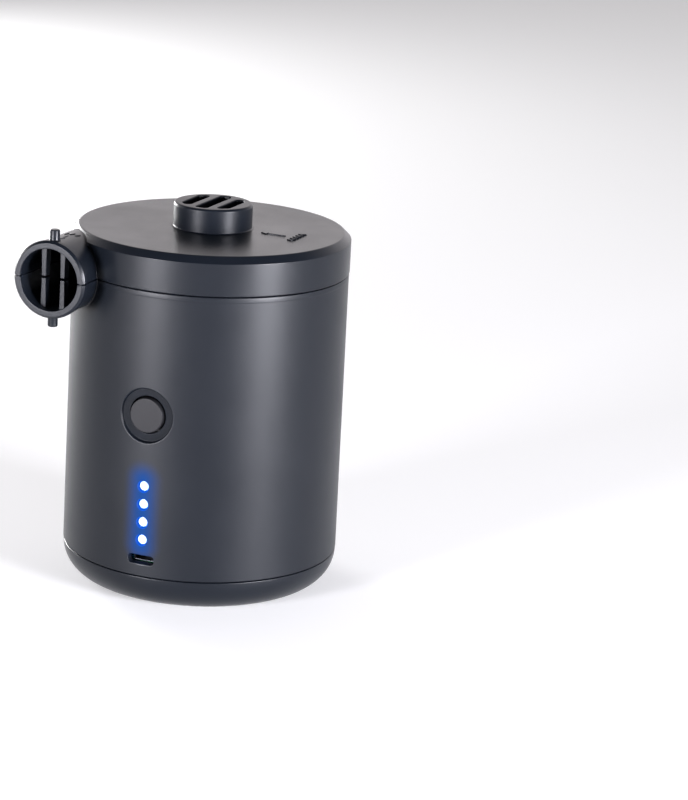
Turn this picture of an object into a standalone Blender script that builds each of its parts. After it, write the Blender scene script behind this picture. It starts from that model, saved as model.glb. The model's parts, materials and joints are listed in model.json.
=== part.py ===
"""Cordless air mattress pump, as the separate pieces that it is assembled from.

The pump is a round housing with a lid on top and a rounded cover underneath.
A tangential nozzle blows air out at the front left, and a slotted port in the
lid draws it in.  Lid and housing meet in the plane of the nozzle's axis, so
each carries one half of the nozzle.  Inside, a motor hangs from the fan deck
and turns a radial impeller above it, and three cells stand behind the motor.

Origin: centre of the flat underside.  +Z is up and the controls face -Y.
Sizes are in millimetres; MM turns them into Blender's metres.
"""

import math

import bmesh
import bpy
from mathutils import Matrix, Vector

MM = 0.001
GAP = 0.3  # air between neighbouring pieces
EMBED = 0.8  # how far a joined-on shape reaches into its neighbour
OVERRUN = 2.0  # how far a cutter reaches past the wall that it cuts

# Casing
BODY_R = 45.0
BODY_FOOT_R = 45.4
LID_R = 45.2
WALL = 2.5
BASE_SEAM_Z = 11.2
LID_SEAM_Z = 105.0
LID_CHAMFER_Z = 115.6
LID_TOP_R = 43.0
TOP_Z = 117.7
SEAM = 0.15  # half of the slit between two shells
SHELL_STEPS = 60
INNER_R = BODY_FOOT_R - WALL - 0.2
SPIGOT_OUT_R = INNER_R - 0.5
SPIGOT_IN_R = SPIGOT_OUT_R - 1.4
SPIGOT_H = 3.0
CEILING_Z = 115.2
BASE_FILLET_R = 10.7
BASE_FLOOR = 2.5

# Fan deck, the floor of the impeller chamber
DECK_Z = 88.0
DECK_TOP_Z = 90.5
DECK_R = INNER_R - 0.4
LUG_Z = 85.9  # underside of the housing's lugs that the deck stands on
LUG_TOP_Z = DECK_Z - GAP

# Intake port, set into a hole in the lid
PORT_R = 12.8
PORT_FOOT_R = 13.2
PORT_NECK_R = 12.4
PORT_HOLE_R = PORT_NECK_R + GAP
PORT_TOP_Z = 125.7
PORT_ROUND = 0.8
PORT_BORE_R = 10.8
PORT_PLATE = 2.0
SLOT_END_R = 10.4
SLOTS = ((-8.4, -4.6), (-2.1, 2.1), (4.6, 8.4))  # x range of each slot

# Outlet nozzle, pointing to -Y
NOZZLE_X = -33.2
NOZZLE_FRONT_Y = -49.8
NOZZLE_R = 12.5
NOZZLE_ROOT_R = 11.7
NOZZLE_BORE_R = 10.0
NOZZLE_BORE_END_Y = -2.0
NOZZLE_STEPS = 48
BAR_OFFSET = 3.3
BAR_WALL_W = 1.9  # each bar tapers from the nozzle's wall
BAR_SEAM_W = 1.45  # to the seam
BAR_FRONT_Y = NOZZLE_FRONT_Y + 3.0
BAR_DEPTH = 3.0
BAR_GAP = 0.7
PIN_R = 1.6
PIN_Y = -46.2
PIN_REACH = 15.7

# Cutwater, the wedge where the outlet leaves the impeller chamber
CUTWATER_START = 243.0  # degrees
CUTWATER_END = 290.0
CUTWATER_TIP_R = 32.0

# Front controls, all on x = 0
BUTTON_Z = 64.7
DISH_R = 8.8
DISH_Y = -43.6
BUTTON_HOLE_R = 6.2
BUTTON_R = 5.75
BUTTON_FACE_Y = -44.9
FLANGE_R = 7.4
BOSS_FACE_Y = -40.5
FLANGE_T = 1.0
LED_Z = (41.3, 35.3, 29.3, 23.4)
LED_HOLE_R = 1.95
LIGHT_ROD_R = 1.55
LIGHT_ROD_FRONT_Y = -43.7
USB_Z = 16.9
USB_SLOT_W = 8.9
USB_SLOT_H = 3.0
USB_SLOT_ROUND = 1.1

# Circuit boards
BOARD_T = 1.6
BOARD_FRONT_Y = -33.6
CHARGE_BOARD_Z = 13.7
CHARGE_BOARD_TOP = CHARGE_BOARD_Z + BOARD_T
BOARD_SCREWS = ((-12.0, -28.0), (12.0, -28.0))

# Battery pack
CELL_R = 9.15
CELL_BOTTOM_Z = 19.9
CELL_H = 65.2
CELL_PITCH_R = 28.9
CELL_ANGLES = (30.0, 90.0, 150.0)
CUP_R = 10.55
POCKET_R = 9.5
STRIP_T = 0.3
STRIP_IN_R = 23.0
STRIP_OUT_R = 27.0
CELL_TOP_Z = CELL_BOTTOM_Z + CELL_H
STRIP_LOW_Z = CELL_BOTTOM_Z - GAP - STRIP_T
STRIP_HIGH_Z = CELL_TOP_Z + GAP
TRAY_Z = 17.0
TRAY_TOP_Z = 27.0
CAP_Z = 77.0
WEB_H = 4.0

# Motor and impeller, on the Z axis
CAN_R = 18.0
CAN_BOTTOM_Z = 38.0
CAN_TOP_Z = 86.4
CAN_WALL = 1.2
SHAFT_R = 1.585
BUSH_BORE_R = 1.64
BUSH_R = 3.0
STACK_Z = (54.0, 78.0)
STACK_R = 13.4
MAGNET_R = (14.2, 16.5)
MOTOR_SCREW_X = 8.0
IMPELLER_R = 30.0
IMPELLER_Z = (94.0, 111.0)
BLADES = 9

# Screws
SHANK_R = 1.4
HEAD_R = 2.6
HEAD_H = 1.8
CLEAR_R = 1.7
PILOT_R = 1.5
BASE_SEAT_Z = 8.0
LID_SCREW_R = 39.0
LID_SCREW_ANGLES = (-60.0, 0.0, 60.0, 120.0)
BASE_SCREW_R = 31.6
BASE_SCREW_ANGLES = (-45.0, 60.0, 120.0, 225.0)

FACE_FRONT = (math.radians(90), 0, 0)  # turns a piece's own +Z to the front, -Y
UPRIGHT = Matrix.Rotation(math.radians(90), 4, "X")  # stands an outline up, with its +Z to the front


# ---------------------------------------------------------------- scene setup
def clear_scene():
    """Removes what the startup file holds."""
    for obj in list(bpy.data.objects):
        bpy.data.objects.remove(obj, do_unlink=True)


def new_collection(name):
    made = bpy.data.collections.new(name)
    bpy.context.scene.collection.children.link(made)
    return made


clear_scene()
PIECES = new_collection("air_mattress_pump")
CUTTERS = new_collection("cutters")


def empty(name, location=(0, 0, 0)):
    """An axis that the pieces of one moving body hang from."""
    made = bpy.data.objects.new(name, None)
    made.location = Vector(location) * MM
    made.empty_display_size = 0.02
    PIECES.objects.link(made)
    return made


HOUSING_BODY = empty("housing_frame")
ROTOR_BODY = empty("rotor_axis")
BUTTON_BODY = empty("button_axis", (0, 0, BUTTON_Z))


def material(name, colour, roughness, metallic=0.0, alpha=1.0, glow=0.0):
    made = bpy.data.materials.new(name)
    made.use_nodes = True
    shader = made.node_tree.nodes["Principled BSDF"]
    shader.inputs["Base Color"].default_value = (*colour, 1.0)
    shader.inputs["Roughness"].default_value = roughness
    shader.inputs["Metallic"].default_value = metallic
    shader.inputs["Alpha"].default_value = alpha
    shader.inputs["Emission Color"].default_value = (*colour, 1.0)
    shader.inputs["Emission Strength"].default_value = glow
    made.diffuse_color = (*colour, alpha)
    return made


BLACK_ABS = material("black_abs", (0.035, 0.035, 0.038), 0.5)
BUTTON_ABS = material("button_abs", (0.05, 0.05, 0.054), 0.55)
CLEAR_PC = material("clear_polycarbonate", (0.75, 0.86, 1.0), 0.1, alpha=0.4)
LED_BLUE = material("led_blue", (0.25, 0.5, 1.0), 0.3, glow=2.0)
BOARD_GREEN = material("board_green", (0.02, 0.16, 0.07), 0.5)
CHIP_BLACK = material("chip_black", (0.02, 0.02, 0.02), 0.45)
CAN_STEEL = material("can_steel", (0.55, 0.56, 0.58), 0.35, metallic=1.0)
SCREW_STEEL = material("screw_steel", (0.32, 0.33, 0.35), 0.35, metallic=1.0)
SHAFT_STEEL = material("shaft_steel", (0.7, 0.7, 0.72), 0.2, metallic=1.0)
NICKEL = material("nickel", (0.66, 0.64, 0.58), 0.3, metallic=1.0)
BRONZE = material("bronze", (0.55, 0.36, 0.16), 0.4, metallic=1.0)
COPPER = material("copper", (0.72, 0.32, 0.14), 0.35, metallic=1.0)
MAGNET_GREY = material("magnet_grey", (0.09, 0.09, 0.1), 0.6)
CARBON = material("carbon", (0.03, 0.03, 0.03), 0.7)
CELL_WRAP = material("cell_wrap", (0.02, 0.2, 0.35), 0.35)
HOLDER_ABS = material("holder_abs", (0.1, 0.1, 0.11), 0.6)
IMPELLER_PA = material("impeller_nylon", (0.06, 0.06, 0.065), 0.45)
FOAM = material("foam", (0.06, 0.06, 0.06), 0.9)
WIRE_RED = material("wire_red", (0.6, 0.03, 0.03), 0.4)
WIRE_BLACK = material("wire_black", (0.02, 0.02, 0.02), 0.4)


# ------------------------------------------------------------ modelling tools
def adopt(obj, finish, body):
    """Puts a finished piece into the pump, on its body."""
    PIECES.objects.link(obj)
    obj.data.materials.clear()
    obj.data.materials.append(finish)
    obj.parent = body
    obj.matrix_parent_inverse = body.matrix_basis.inverted()
    return obj


def as_tool(obj):
    """Makes an object a helper for Booleans, which is not a piece."""
    CUTTERS.objects.link(obj)
    obj.hide_render = True
    obj.display_type = "WIRE"
    return obj


def mesh_object(name, bm, smooth=True):
    """A new object, in no collection yet, from a bmesh in millimetres."""
    bmesh.ops.recalc_face_normals(bm, faces=bm.faces)
    bmesh.ops.scale(bm, vec=(MM, MM, MM), verts=bm.verts)
    mesh = bpy.data.meshes.new(name)
    bm.to_mesh(mesh)
    bm.free()
    if smooth:
        mesh.shade_smooth()
        mesh.set_sharp_from_angle(angle=math.radians(35))
    return bpy.data.objects.new(name, mesh)


def piece(name, bm, finish, body=HOUSING_BODY):
    return adopt(mesh_object(name, bm), finish, body)


def tool(name, bm):
    return as_tool(mesh_object(name, bm))


def turned_object(name, profile, steps):
    """A turned shape about Z.  The profile lists (radius, height): it runs down
    the outer side first, and closes on itself unless both its ends are on the axis."""
    bm = bmesh.new()
    points = [bm.verts.new((r * MM, 0, z * MM)) for r, z in profile]
    for start, end in zip(points, points[1:]):
        bm.edges.new((start, end))
    if profile[0][0] > 0:
        bm.edges.new((points[-1], points[0]))
    mesh = bpy.data.meshes.new(name)
    bm.to_mesh(mesh)
    bm.free()
    obj = bpy.data.objects.new(name, mesh)
    screw = obj.modifiers.new("turn", "SCREW")
    screw.steps = steps
    screw.render_steps = steps
    screw.use_merge_vertices = True
    screw.merge_threshold = 0.00001
    return obj


def turned(name, profile, finish, body=HOUSING_BODY, steps=24):
    return adopt(turned_object(name, profile, steps), finish, body)


def add_box(bm, low, high):
    low, high = Vector(low), Vector(high)
    place = Matrix.Translation((low + high) / 2) @ Matrix.Diagonal((*(high - low), 1.0))
    bmesh.ops.create_cube(bm, size=1.0, matrix=place)


def add_rod(bm, radius, start, end, segments=16, end_radius=None):
    """A cylinder from start to end, or a cone where end_radius is given."""
    start, end = Vector(start), Vector(end)
    run = end - start
    place = Matrix.Translation((start + end) / 2) @ run.to_track_quat("Z", "Y").to_matrix().to_4x4()
    bmesh.ops.create_cone(
        bm,
        cap_ends=True,
        segments=segments,
        radius1=radius,
        radius2=radius if end_radius is None else end_radius,
        depth=run.length,
        matrix=place,
    )


def add_prism(bm, outline, low, high, place=Matrix.Identity(4)):
    """An outline in the XY plane, extruded from low to high."""
    floor = bm.faces.new([bm.verts.new(place @ Vector((x, y, low))) for x, y in outline])
    grown = bmesh.ops.extrude_face_region(bm, geom=[floor], use_keep_orig=True)
    lifted = [v for v in grown["geom"] if isinstance(v, bmesh.types.BMVert)]
    bmesh.ops.translate(bm, vec=place.to_3x3() @ Vector((0, 0, high - low)), verts=lifted)


def polar(radius, degrees):
    angle = math.radians(degrees)
    return radius * math.cos(angle), radius * math.sin(angle)


def arc(radius, start, end, count, centre=(0.0, 0.0)):
    """Points on an arc, from start to end in degrees, both ends included."""
    angles = [start + (end - start) * i / count for i in range(count + 1)]
    return [(centre[0] + x, centre[1] + y) for x, y in (polar(radius, a) for a in angles)]


def sector(inner, outer, start, end, count=10):
    """Outline of a piece of a ring."""
    return arc(outer, start, end, count) + arc(inner, end, start, count)


def combine(target, helper, operation):
    modifier = target.modifiers.new(helper.name, "BOOLEAN")
    modifier.operation = operation
    modifier.solver = "EXACT"
    modifier.object = helper


def cut(target, helper):
    combine(target, helper, "DIFFERENCE")


def join(target, helper):
    combine(target, helper, "UNION")


# ----------------------------------------------------------- casing functions
def nozzle_tube(owner):
    """The nozzle's outer tube, solid and whole, up to where it runs into the wall."""
    root_y, edge = 0.7, 0.5
    bm = bmesh.new()
    root, front = (NOZZLE_X, root_y, LID_SEAM_Z), (NOZZLE_X, NOZZLE_FRONT_Y, LID_SEAM_Z)
    add_rod(bm, NOZZLE_ROOT_R, root, front, NOZZLE_STEPS, NOZZLE_R)
    rim = [e for e in bm.edges if all(abs(v.co.y - NOZZLE_FRONT_Y) < 0.01 for v in e.verts)]
    bmesh.ops.bevel(bm, geom=rim, offset=edge, segments=1, affect="EDGES")
    tube = tool(f"{owner}_nozzle_tube", bm)
    bm = bmesh.new()
    add_rod(bm, BODY_R - 1.5, (0, 0, 80), (0, 0, (CEILING_Z + TOP_Z) / 2), SHELL_STEPS)
    cut(tube, tool(f"{owner}_nozzle_inside", bm))
    return tube


def nozzle_bore(owner):
    bm = bmesh.new()
    add_rod(
        bm,
        NOZZLE_BORE_R,
        (NOZZLE_X, NOZZLE_FRONT_Y - OVERRUN, LID_SEAM_Z),
        (NOZZLE_X, NOZZLE_BORE_END_Y, LID_SEAM_Z),
        NOZZLE_STEPS,
    )
    return tool(f"{owner}_nozzle_bore", bm)


def nozzle_bars(owner, side):
    """Half of each upright bar across the mouth and one bayonet pin, on one side of
    the seam: +1 above it, -1 below."""
    bm = bmesh.new()
    tip = LID_SEAM_Z + side * (NOZZLE_BORE_R + 0.6)
    seam = LID_SEAM_Z + side * BAR_GAP / 2
    for x in (NOZZLE_X - BAR_OFFSET, NOZZLE_X + BAR_OFFSET):
        bar = [(x - BAR_WALL_W / 2, tip), (x + BAR_WALL_W / 2, tip), (x + BAR_SEAM_W / 2, seam), (x - BAR_SEAM_W / 2, seam)]
        add_prism(bm, bar, -BAR_FRONT_Y - BAR_DEPTH, -BAR_FRONT_Y, UPRIGHT)
    root = LID_SEAM_Z + side * (NOZZLE_R - EMBED)
    add_rod(bm, PIN_R, (NOZZLE_X, PIN_Y, root), (NOZZLE_X, PIN_Y, LID_SEAM_Z + side * PIN_REACH))
    return tool(f"{owner}_nozzle_bars", bm)


def cutwater(owner, wall_r, low, high):
    """The wedge between the impeller chamber and its outlet, joined to a wall at wall_r."""
    wall = arc(wall_r, CUTWATER_START, CUTWATER_END, 8)
    inner = []
    for i in range(9):
        part = i / 8
        angle = CUTWATER_END + (CUTWATER_START - CUTWATER_END) * part
        inner.append(polar(wall_r - EMBED / 2 + (CUTWATER_TIP_R - wall_r) * part**0.8, angle))
    bm = bmesh.new()
    add_prism(bm, wall + inner, low, high)
    return tool(f"{owner}_cutwater", bm)


def front_rods(name, spots, radius, front_y, back_y, segments=24):
    """Cylinders along Y at each height, all on x = 0."""
    bm = bmesh.new()
    for z in spots:
        add_rod(bm, radius, (0, front_y, z), (0, back_y, z), segments)
    return tool(name, bm)


def rounded_rectangle(width, height, radius, count=3):
    points = []
    for sx, sy, start in ((1, -1, -90), (1, 1, 0), (-1, 1, 90), (-1, -1, 180)):
        centre = (sx * (width / 2 - radius), sy * (height / 2 - radius))
        points += arc(radius, start, start + 90, count, centre)
    return points


def make_main_housing():
    low, high = BASE_SEAM_Z + SEAM, LID_SEAM_Z - SEAM
    above = high + 1.0  # the wall starts too tall, and one flat cut makes the whole seam
    housing = turned(
        "main_housing",
        [(BODY_R, above), (BODY_FOOT_R, low), (INNER_R, low), (INNER_R, above)],
        BLACK_ABS,
        steps=SHELL_STEPS,
    )
    join(housing, nozzle_tube("housing"))
    cut(housing, nozzle_bore("housing"))
    bm = bmesh.new()
    add_box(bm, (-60, -60, high), (60, 60, TOP_Z + 10))
    cut(housing, tool("above_seam", bm))
    join(housing, nozzle_bars("housing", -1))

    # Power button: a boss behind the wall, a shallow dish and the hole
    boss_root_y = -43.35  # within the wall's thickness
    join(housing, front_rods("button_boss", (BUTTON_Z,), DISH_R + 0.7, boss_root_y, BOSS_FACE_Y, 32))
    cut(housing, front_rods("button_dish", (BUTTON_Z,), DISH_R, -BODY_R - OVERRUN, DISH_Y, 40))
    cut(housing, front_rods("button_hole", (BUTTON_Z,), BUTTON_HOLE_R, -BODY_R - OVERRUN, -INNER_R + 6, 32))

    # Charge lights and USB socket
    cut(housing, front_rods("led_holes", LED_Z, LED_HOLE_R, -BODY_R - OVERRUN, -INNER_R + OVERRUN, 20))
    bm = bmesh.new()
    slot = rounded_rectangle(USB_SLOT_W, USB_SLOT_H, USB_SLOT_ROUND)
    add_prism(bm, slot, INNER_R - OVERRUN, BODY_FOOT_R + OVERRUN, Matrix.Translation((0, 0, USB_Z)) @ UPRIGHT)
    cut(housing, tool("usb_slot", bm))

    # Posts that take the base screws, each tied to the wall by a rib
    post_r, post_low, post_high, rib_t = 3.4, 15.0, 34.0, 1.8
    posts, ribs, holes = bmesh.new(), bmesh.new(), bmesh.new()
    for angle in BASE_SCREW_ANGLES:
        x, y = polar(BASE_SCREW_R, angle)
        add_rod(posts, post_r, (x, y, post_low), (x, y, post_high), 20)
        add_rod(holes, PILOT_R, (x, y, post_low - OVERRUN), (x, y, post_high - OVERRUN), 16)
        rib = [(BASE_SCREW_R + 2.0, -rib_t / 2), (INNER_R + EMBED, -rib_t / 2)]
        rib += [(px, -py) for px, py in reversed(rib)]
        add_prism(ribs, rib, post_low + 0.5, post_high - 0.5, Matrix.Rotation(math.radians(angle), 4, "Z"))
    join(housing, tool("base_screw_ribs", ribs))
    join(housing, tool("base_screw_posts", posts))
    cut(housing, tool("base_screw_pilots", holes))

    # Lugs that the fan deck stands on, with the holes of the lid screws
    lug_r, lug_half_w = 36.0, 4.0
    lugs, holes = bmesh.new(), bmesh.new()
    for angle in LID_SCREW_ANGLES:
        x, y = polar(LID_SCREW_R, angle)
        lug = [(lug_r, -lug_half_w), (INNER_R + EMBED, -lug_half_w), (INNER_R + EMBED, lug_half_w), (lug_r, lug_half_w)]
        add_prism(lugs, lug, LUG_Z, LUG_TOP_Z, Matrix.Rotation(math.radians(angle), 4, "Z"))
        add_rod(holes, CLEAR_R, (x, y, LUG_Z - OVERRUN), (x, y, LUG_TOP_Z + OVERRUN), 16)
    join(housing, tool("deck_lugs", lugs))
    cut(housing, tool("deck_lug_holes", holes))


def make_fan_deck():
    """The plate that carries the motor.  It drops in from above, and its wedge lies
    below the lid's."""
    shaft_hole_r = 4.6
    deck = turned(
        "fan_deck",
        [(DECK_R, DECK_TOP_Z), (DECK_R, DECK_Z), (shaft_hole_r, DECK_Z), (shaft_hole_r, DECK_TOP_Z)],
        BLACK_ABS,
        steps=SHELL_STEPS,
    )
    join(deck, cutwater("deck", DECK_R - GAP, DECK_TOP_Z - EMBED, LID_SEAM_Z - SPIGOT_H - GAP))
    cut(deck, nozzle_bore("deck"))
    bm = bmesh.new()
    spots = [polar(LID_SCREW_R, angle) for angle in LID_SCREW_ANGLES]
    spots += [(-MOTOR_SCREW_X, 0), (MOTOR_SCREW_X, 0)]
    for x, y in spots:
        add_rod(bm, CLEAR_R, (x, y, DECK_Z - OVERRUN), (x, y, DECK_TOP_Z + OVERRUN), 16)
    cut(deck, tool("deck_holes", bm))


def slot_outline(low_x, high_x, count=5):
    """A straight-sided slot whose two ends lie on one circle."""
    xs = [low_x + (high_x - low_x) * i / count for i in range(count + 1)]
    near = [(x, -math.sqrt(SLOT_END_R**2 - x**2)) for x in xs]
    far = [(x, -y) for x, y in reversed(near)]
    return near + far


def lid_marks():
    """A raised arrow pointing at the port, and a row of small chevrons beyond it."""
    height, sink = 0.35, 0.4
    low, high = TOP_Z - sink, TOP_Z + height
    tip, tail, half, head = 17.2, 25.7, 1.0, 2.5
    bm = bmesh.new()
    add_prism(bm, [(tip, 0), (tip + head, -2 * half), (tip + head, -half), (tail, -half),
                   (tail, half), (tip + head, half), (tip + head, 2 * half)], low, high)
    x, pitch, reach, thick, count = 28.2, 2.3, 1.7, 0.9, 5
    for i in range(count):
        y = (i - (count - 1) / 2) * pitch
        low_y, high_y = y - pitch * 0.42, y + pitch * 0.42
        add_prism(bm, [(x, y), (x + reach, low_y), (x + reach + thick, low_y), (x + thick, y),
                       (x + reach + thick, high_y), (x + reach, high_y)], low, high)
    return tool("lid_marks", bm)


def make_lid():
    seam, ledge, spigot_z = LID_SEAM_Z + SEAM, LID_SEAM_Z + 3.0, LID_SEAM_Z - SPIGOT_H
    spare = 0.6  # the skirt starts too big, and one stepped cut makes the whole seam
    lid = turned(
        "lid",
        [
            (PORT_HOLE_R, TOP_Z),
            (LID_TOP_R, TOP_Z),
            (LID_R, LID_CHAMFER_Z),
            (LID_R, seam - spare),
            (SPIGOT_OUT_R + spare, seam - spare),
            (SPIGOT_OUT_R + spare, spigot_z),
            (SPIGOT_IN_R, spigot_z),
            (SPIGOT_IN_R, ledge - 1.5),
            (INNER_R, ledge),
            (INNER_R, CEILING_Z),
            (PORT_HOLE_R, CEILING_Z),
        ],
        BLACK_ABS,
        steps=SHELL_STEPS,
    )
    join(lid, nozzle_tube("lid"))
    join(lid, cutwater("lid", SPIGOT_OUT_R - GAP, spigot_z + 0.2, CEILING_Z + EMBED))
    cut(lid, nozzle_bore("lid"))
    bm = bmesh.new()
    add_box(bm, (-60, -60, DECK_Z), (60, 60, seam))
    below_seam = tool("below_seam", bm)
    bm = bmesh.new()
    add_rod(bm, SPIGOT_OUT_R, (0, 0, DECK_Z - OVERRUN), (0, 0, seam + OVERRUN), SHELL_STEPS)
    cut(below_seam, tool("spigot_outside", bm))
    cut(lid, below_seam)
    join(lid, nozzle_bars("lid", 1))

    post_r, post_low, pilot_high = 2.8, DECK_TOP_Z + GAP, 103.0
    posts, holes = bmesh.new(), bmesh.new()
    for angle in LID_SCREW_ANGLES:
        x, y = polar(LID_SCREW_R, angle)
        add_rod(posts, post_r, (x, y, post_low), (x, y, CEILING_Z + EMBED))
        add_rod(holes, PILOT_R, (x, y, post_low - OVERRUN), (x, y, pilot_high), 16)
    join(lid, tool("lid_posts", posts))
    cut(lid, tool("lid_pilots", holes))
    join(lid, lid_marks())


def make_intake_port():
    """The slotted cap of the air intake: its neck sits in the lid, and its foot on it."""
    foot_z, plate_z, foot_h = TOP_Z + GAP, PORT_TOP_Z - PORT_PLATE, 0.5
    port = turned(
        "intake_port",
        [
            (0, PORT_TOP_Z),
            (PORT_R - PORT_ROUND, PORT_TOP_Z),
            (PORT_R - PORT_ROUND * 0.3, PORT_TOP_Z - PORT_ROUND * 0.3),
            (PORT_R, PORT_TOP_Z - PORT_ROUND),
            (PORT_R, foot_z + foot_h),
            (PORT_FOOT_R, foot_z),
            (PORT_NECK_R, foot_z),
            (PORT_NECK_R, CEILING_Z),
            (PORT_BORE_R, CEILING_Z),
            (PORT_BORE_R, plate_z),
            (0, plate_z),
        ],
        BLACK_ABS,
        steps=40,
    )
    bm = bmesh.new()
    for low_x, high_x in SLOTS:
        add_prism(bm, slot_outline(low_x, high_x), plate_z - OVERRUN, PORT_TOP_Z + OVERRUN)
    cut(port, tool("port_slots", bm))


def make_base_cover():
    seam = BASE_SEAM_Z - SEAM
    centre = (BODY_FOOT_R - 0.1 - BASE_FILLET_R, BASE_FILLET_R)
    inner_r = BASE_FILLET_R - BASE_FLOOR
    meet = -math.degrees(math.acos((SPIGOT_IN_R - centre[0]) / inner_r))
    profile = [(centre[0] + BASE_FILLET_R, seam)]
    profile += arc(BASE_FILLET_R, 0, -90, 7, centre)
    profile += [(0, 0), (0, BASE_FLOOR)]
    profile += arc(inner_r, -90, meet, 3, centre)
    profile += [(SPIGOT_IN_R, seam + SPIGOT_H), (SPIGOT_OUT_R, seam + SPIGOT_H), (SPIGOT_OUT_R, seam)]
    # A profile starts and ends on the axis, here at the inner and the outer floor
    inner_floor = profile.index((0, BASE_FLOOR))
    profile = profile[inner_floor:] + profile[:inner_floor]
    cover = turned("base_cover", profile, BLACK_ABS, steps=SHELL_STEPS)

    column_r, column_top, well_r = 4.2, 14.7, 3.0
    adds, wells, bores = bmesh.new(), bmesh.new(), bmesh.new()
    for angle in BASE_SCREW_ANGLES:
        x, y = polar(BASE_SCREW_R, angle)
        add_rod(adds, column_r, (x, y, BASE_FLOOR / 2), (x, y, column_top))
        add_rod(wells, well_r, (x, y, -OVERRUN), (x, y, BASE_SEAT_Z))
        add_rod(bores, CLEAR_R, (x, y, BASE_SEAT_Z - 1), (x, y, column_top + OVERRUN), 16)
    for angle in CELL_ANGLES:
        x, y = polar(CELL_PITCH_R, angle)
        add_rod(adds, 2.5, (x, y, BASE_FLOOR / 2), (x, y, TRAY_Z - GAP), 16)
    for x, y in BOARD_SCREWS:
        add_rod(adds, 2.4, (x, y, BASE_FLOOR / 2), (x, y, CHARGE_BOARD_Z - GAP), 16)
        add_rod(bores, 1.2, (x, y, 5.0), (x, y, CHARGE_BOARD_Z + OVERRUN), 12)
    join(cover, tool("base_posts", adds))
    cut(cover, tool("base_wells", wells))
    cut(cover, tool("base_bores", bores))


# --------------------------------------------------------------------- screws
def make_screws(name, spots, length, up, head_z, shank_r=SHANK_R, head_r=HEAD_R):
    """Pan-head screws with a cross recess.  The shank points up or down from head_z."""
    profile = [
        (0, 0),
        (shank_r * 0.6, 0),
        (shank_r, 1.0),
        (shank_r, length),
        (head_r, length),
        (head_r, length + HEAD_H * 0.55),
        (head_r * 0.7, length + HEAD_H),
        (0, length + HEAD_H),
    ]
    first = turned_object(name, profile[::-1], 12)
    PIECES.objects.link(first)
    bm = bmesh.new()
    reach, slim, deep = head_r * 0.55, head_r * 0.11, 0.9
    top = length + HEAD_H
    outline = []
    for turn in range(4):
        quarter = Matrix.Rotation(math.radians(90 * turn), 2)
        outline += [quarter @ Vector(p) for p in ((slim, slim), (slim, reach), (-slim, reach))]
    add_prism(bm, outline, top - deep, top + OVERRUN)
    recess = tool(f"{name}_recess", bm)
    cut(first, recess)
    bpy.context.view_layer.update()
    mesh = bpy.data.meshes.new_from_object(first.evaluated_get(bpy.context.evaluated_depsgraph_get()))
    bpy.data.objects.remove(first, do_unlink=True)
    bpy.data.objects.remove(recess, do_unlink=True)
    for i, (x, y) in enumerate(spots, start=1):
        screw = adopt(bpy.data.objects.new(f"{name}_{i}", mesh), SCREW_STEEL, HOUSING_BODY)
        if up:
            screw.rotation_euler = (math.pi, 0, 0)
            screw.location = Vector((x, y, head_z + length)) * MM
        else:
            screw.location = Vector((x, y, head_z - length)) * MM


# --------------------------------------------------------- button and lights
def make_button():
    back = -BOSS_FACE_Y - GAP
    button = turned(
        "power_button",
        [
            (0, -BUTTON_FACE_Y),
            (BUTTON_R - 0.4, -BUTTON_FACE_Y),
            (BUTTON_R, -BUTTON_FACE_Y - 0.4),
            (BUTTON_R, back),
            (FLANGE_R, back),
            (FLANGE_R, back - FLANGE_T),
            (0, back - FLANGE_T),
        ],
        BUTTON_ABS,
        BUTTON_BODY,
        steps=32,
    )
    plunger_front = back - FLANGE_T - GAP
    switch_front, switch_depth, side = 37.2, 3.3, 6.4
    plunger_r, plunger_l = 1.6, 3.4
    plunger = turned(
        "switch_plunger",
        [(0, plunger_front), (plunger_r, plunger_front), (plunger_r, plunger_front - plunger_l),
         (0, plunger_front - plunger_l)],
        BUTTON_ABS,
        BUTTON_BODY,
        steps=16,
    )
    for obj in (button, plunger):
        obj.location = Vector((0, 0, BUTTON_Z)) * MM
        obj.rotation_euler = FACE_FRONT

    bm = bmesh.new()
    add_box(bm, (-side / 2, -switch_front, BUTTON_Z - side / 2),
            (side / 2, -switch_front + switch_depth, BUTTON_Z + side / 2))
    switch = piece("switch_body", bm, CHIP_BLACK)
    cut(switch, front_rods("switch_hole", (BUTTON_Z,), plunger_r + GAP, -switch_front - OVERRUN,
                           -switch_front + switch_depth - 0.3, 16))

    wire_r, coil_r, turns, per_turn = 0.22, 3.0, 1.5, 14
    start = plunger_front - wire_r - 0.1
    end = switch_front + GAP + wire_r
    points = []
    for i in range(int(turns * per_turn) + 1):
        angle = 360.0 * i / per_turn
        x, z = polar(coil_r, angle)
        points.append((x, -(start + (end - start) * i / (turns * per_turn)), BUTTON_Z + z))
    wire("button_spring", points, wire_r, SHAFT_STEEL)


def make_lights():
    for i, z in enumerate(LED_Z, start=1):
        bm = bmesh.new()
        front = BOARD_FRONT_Y - GAP - 0.8
        add_box(bm, (-1.5, front, z - 1.5), (1.5, front + 0.8, z + 1.5))
        piece(f"led_{i}", bm, LED_BLUE)
    bar_front, bar_back = -38.4, -36.4
    bm = bmesh.new()
    add_box(bm, (-2.6, bar_front, LED_Z[-1] - 2.8), (2.6, bar_back, LED_Z[0] + 2.8))
    pipe = piece("light_pipe", bm, CLEAR_PC)
    join(pipe, front_rods("light_rods", LED_Z, LIGHT_ROD_R, LIGHT_ROD_FRONT_Y, bar_front + EMBED, 20))


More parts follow.
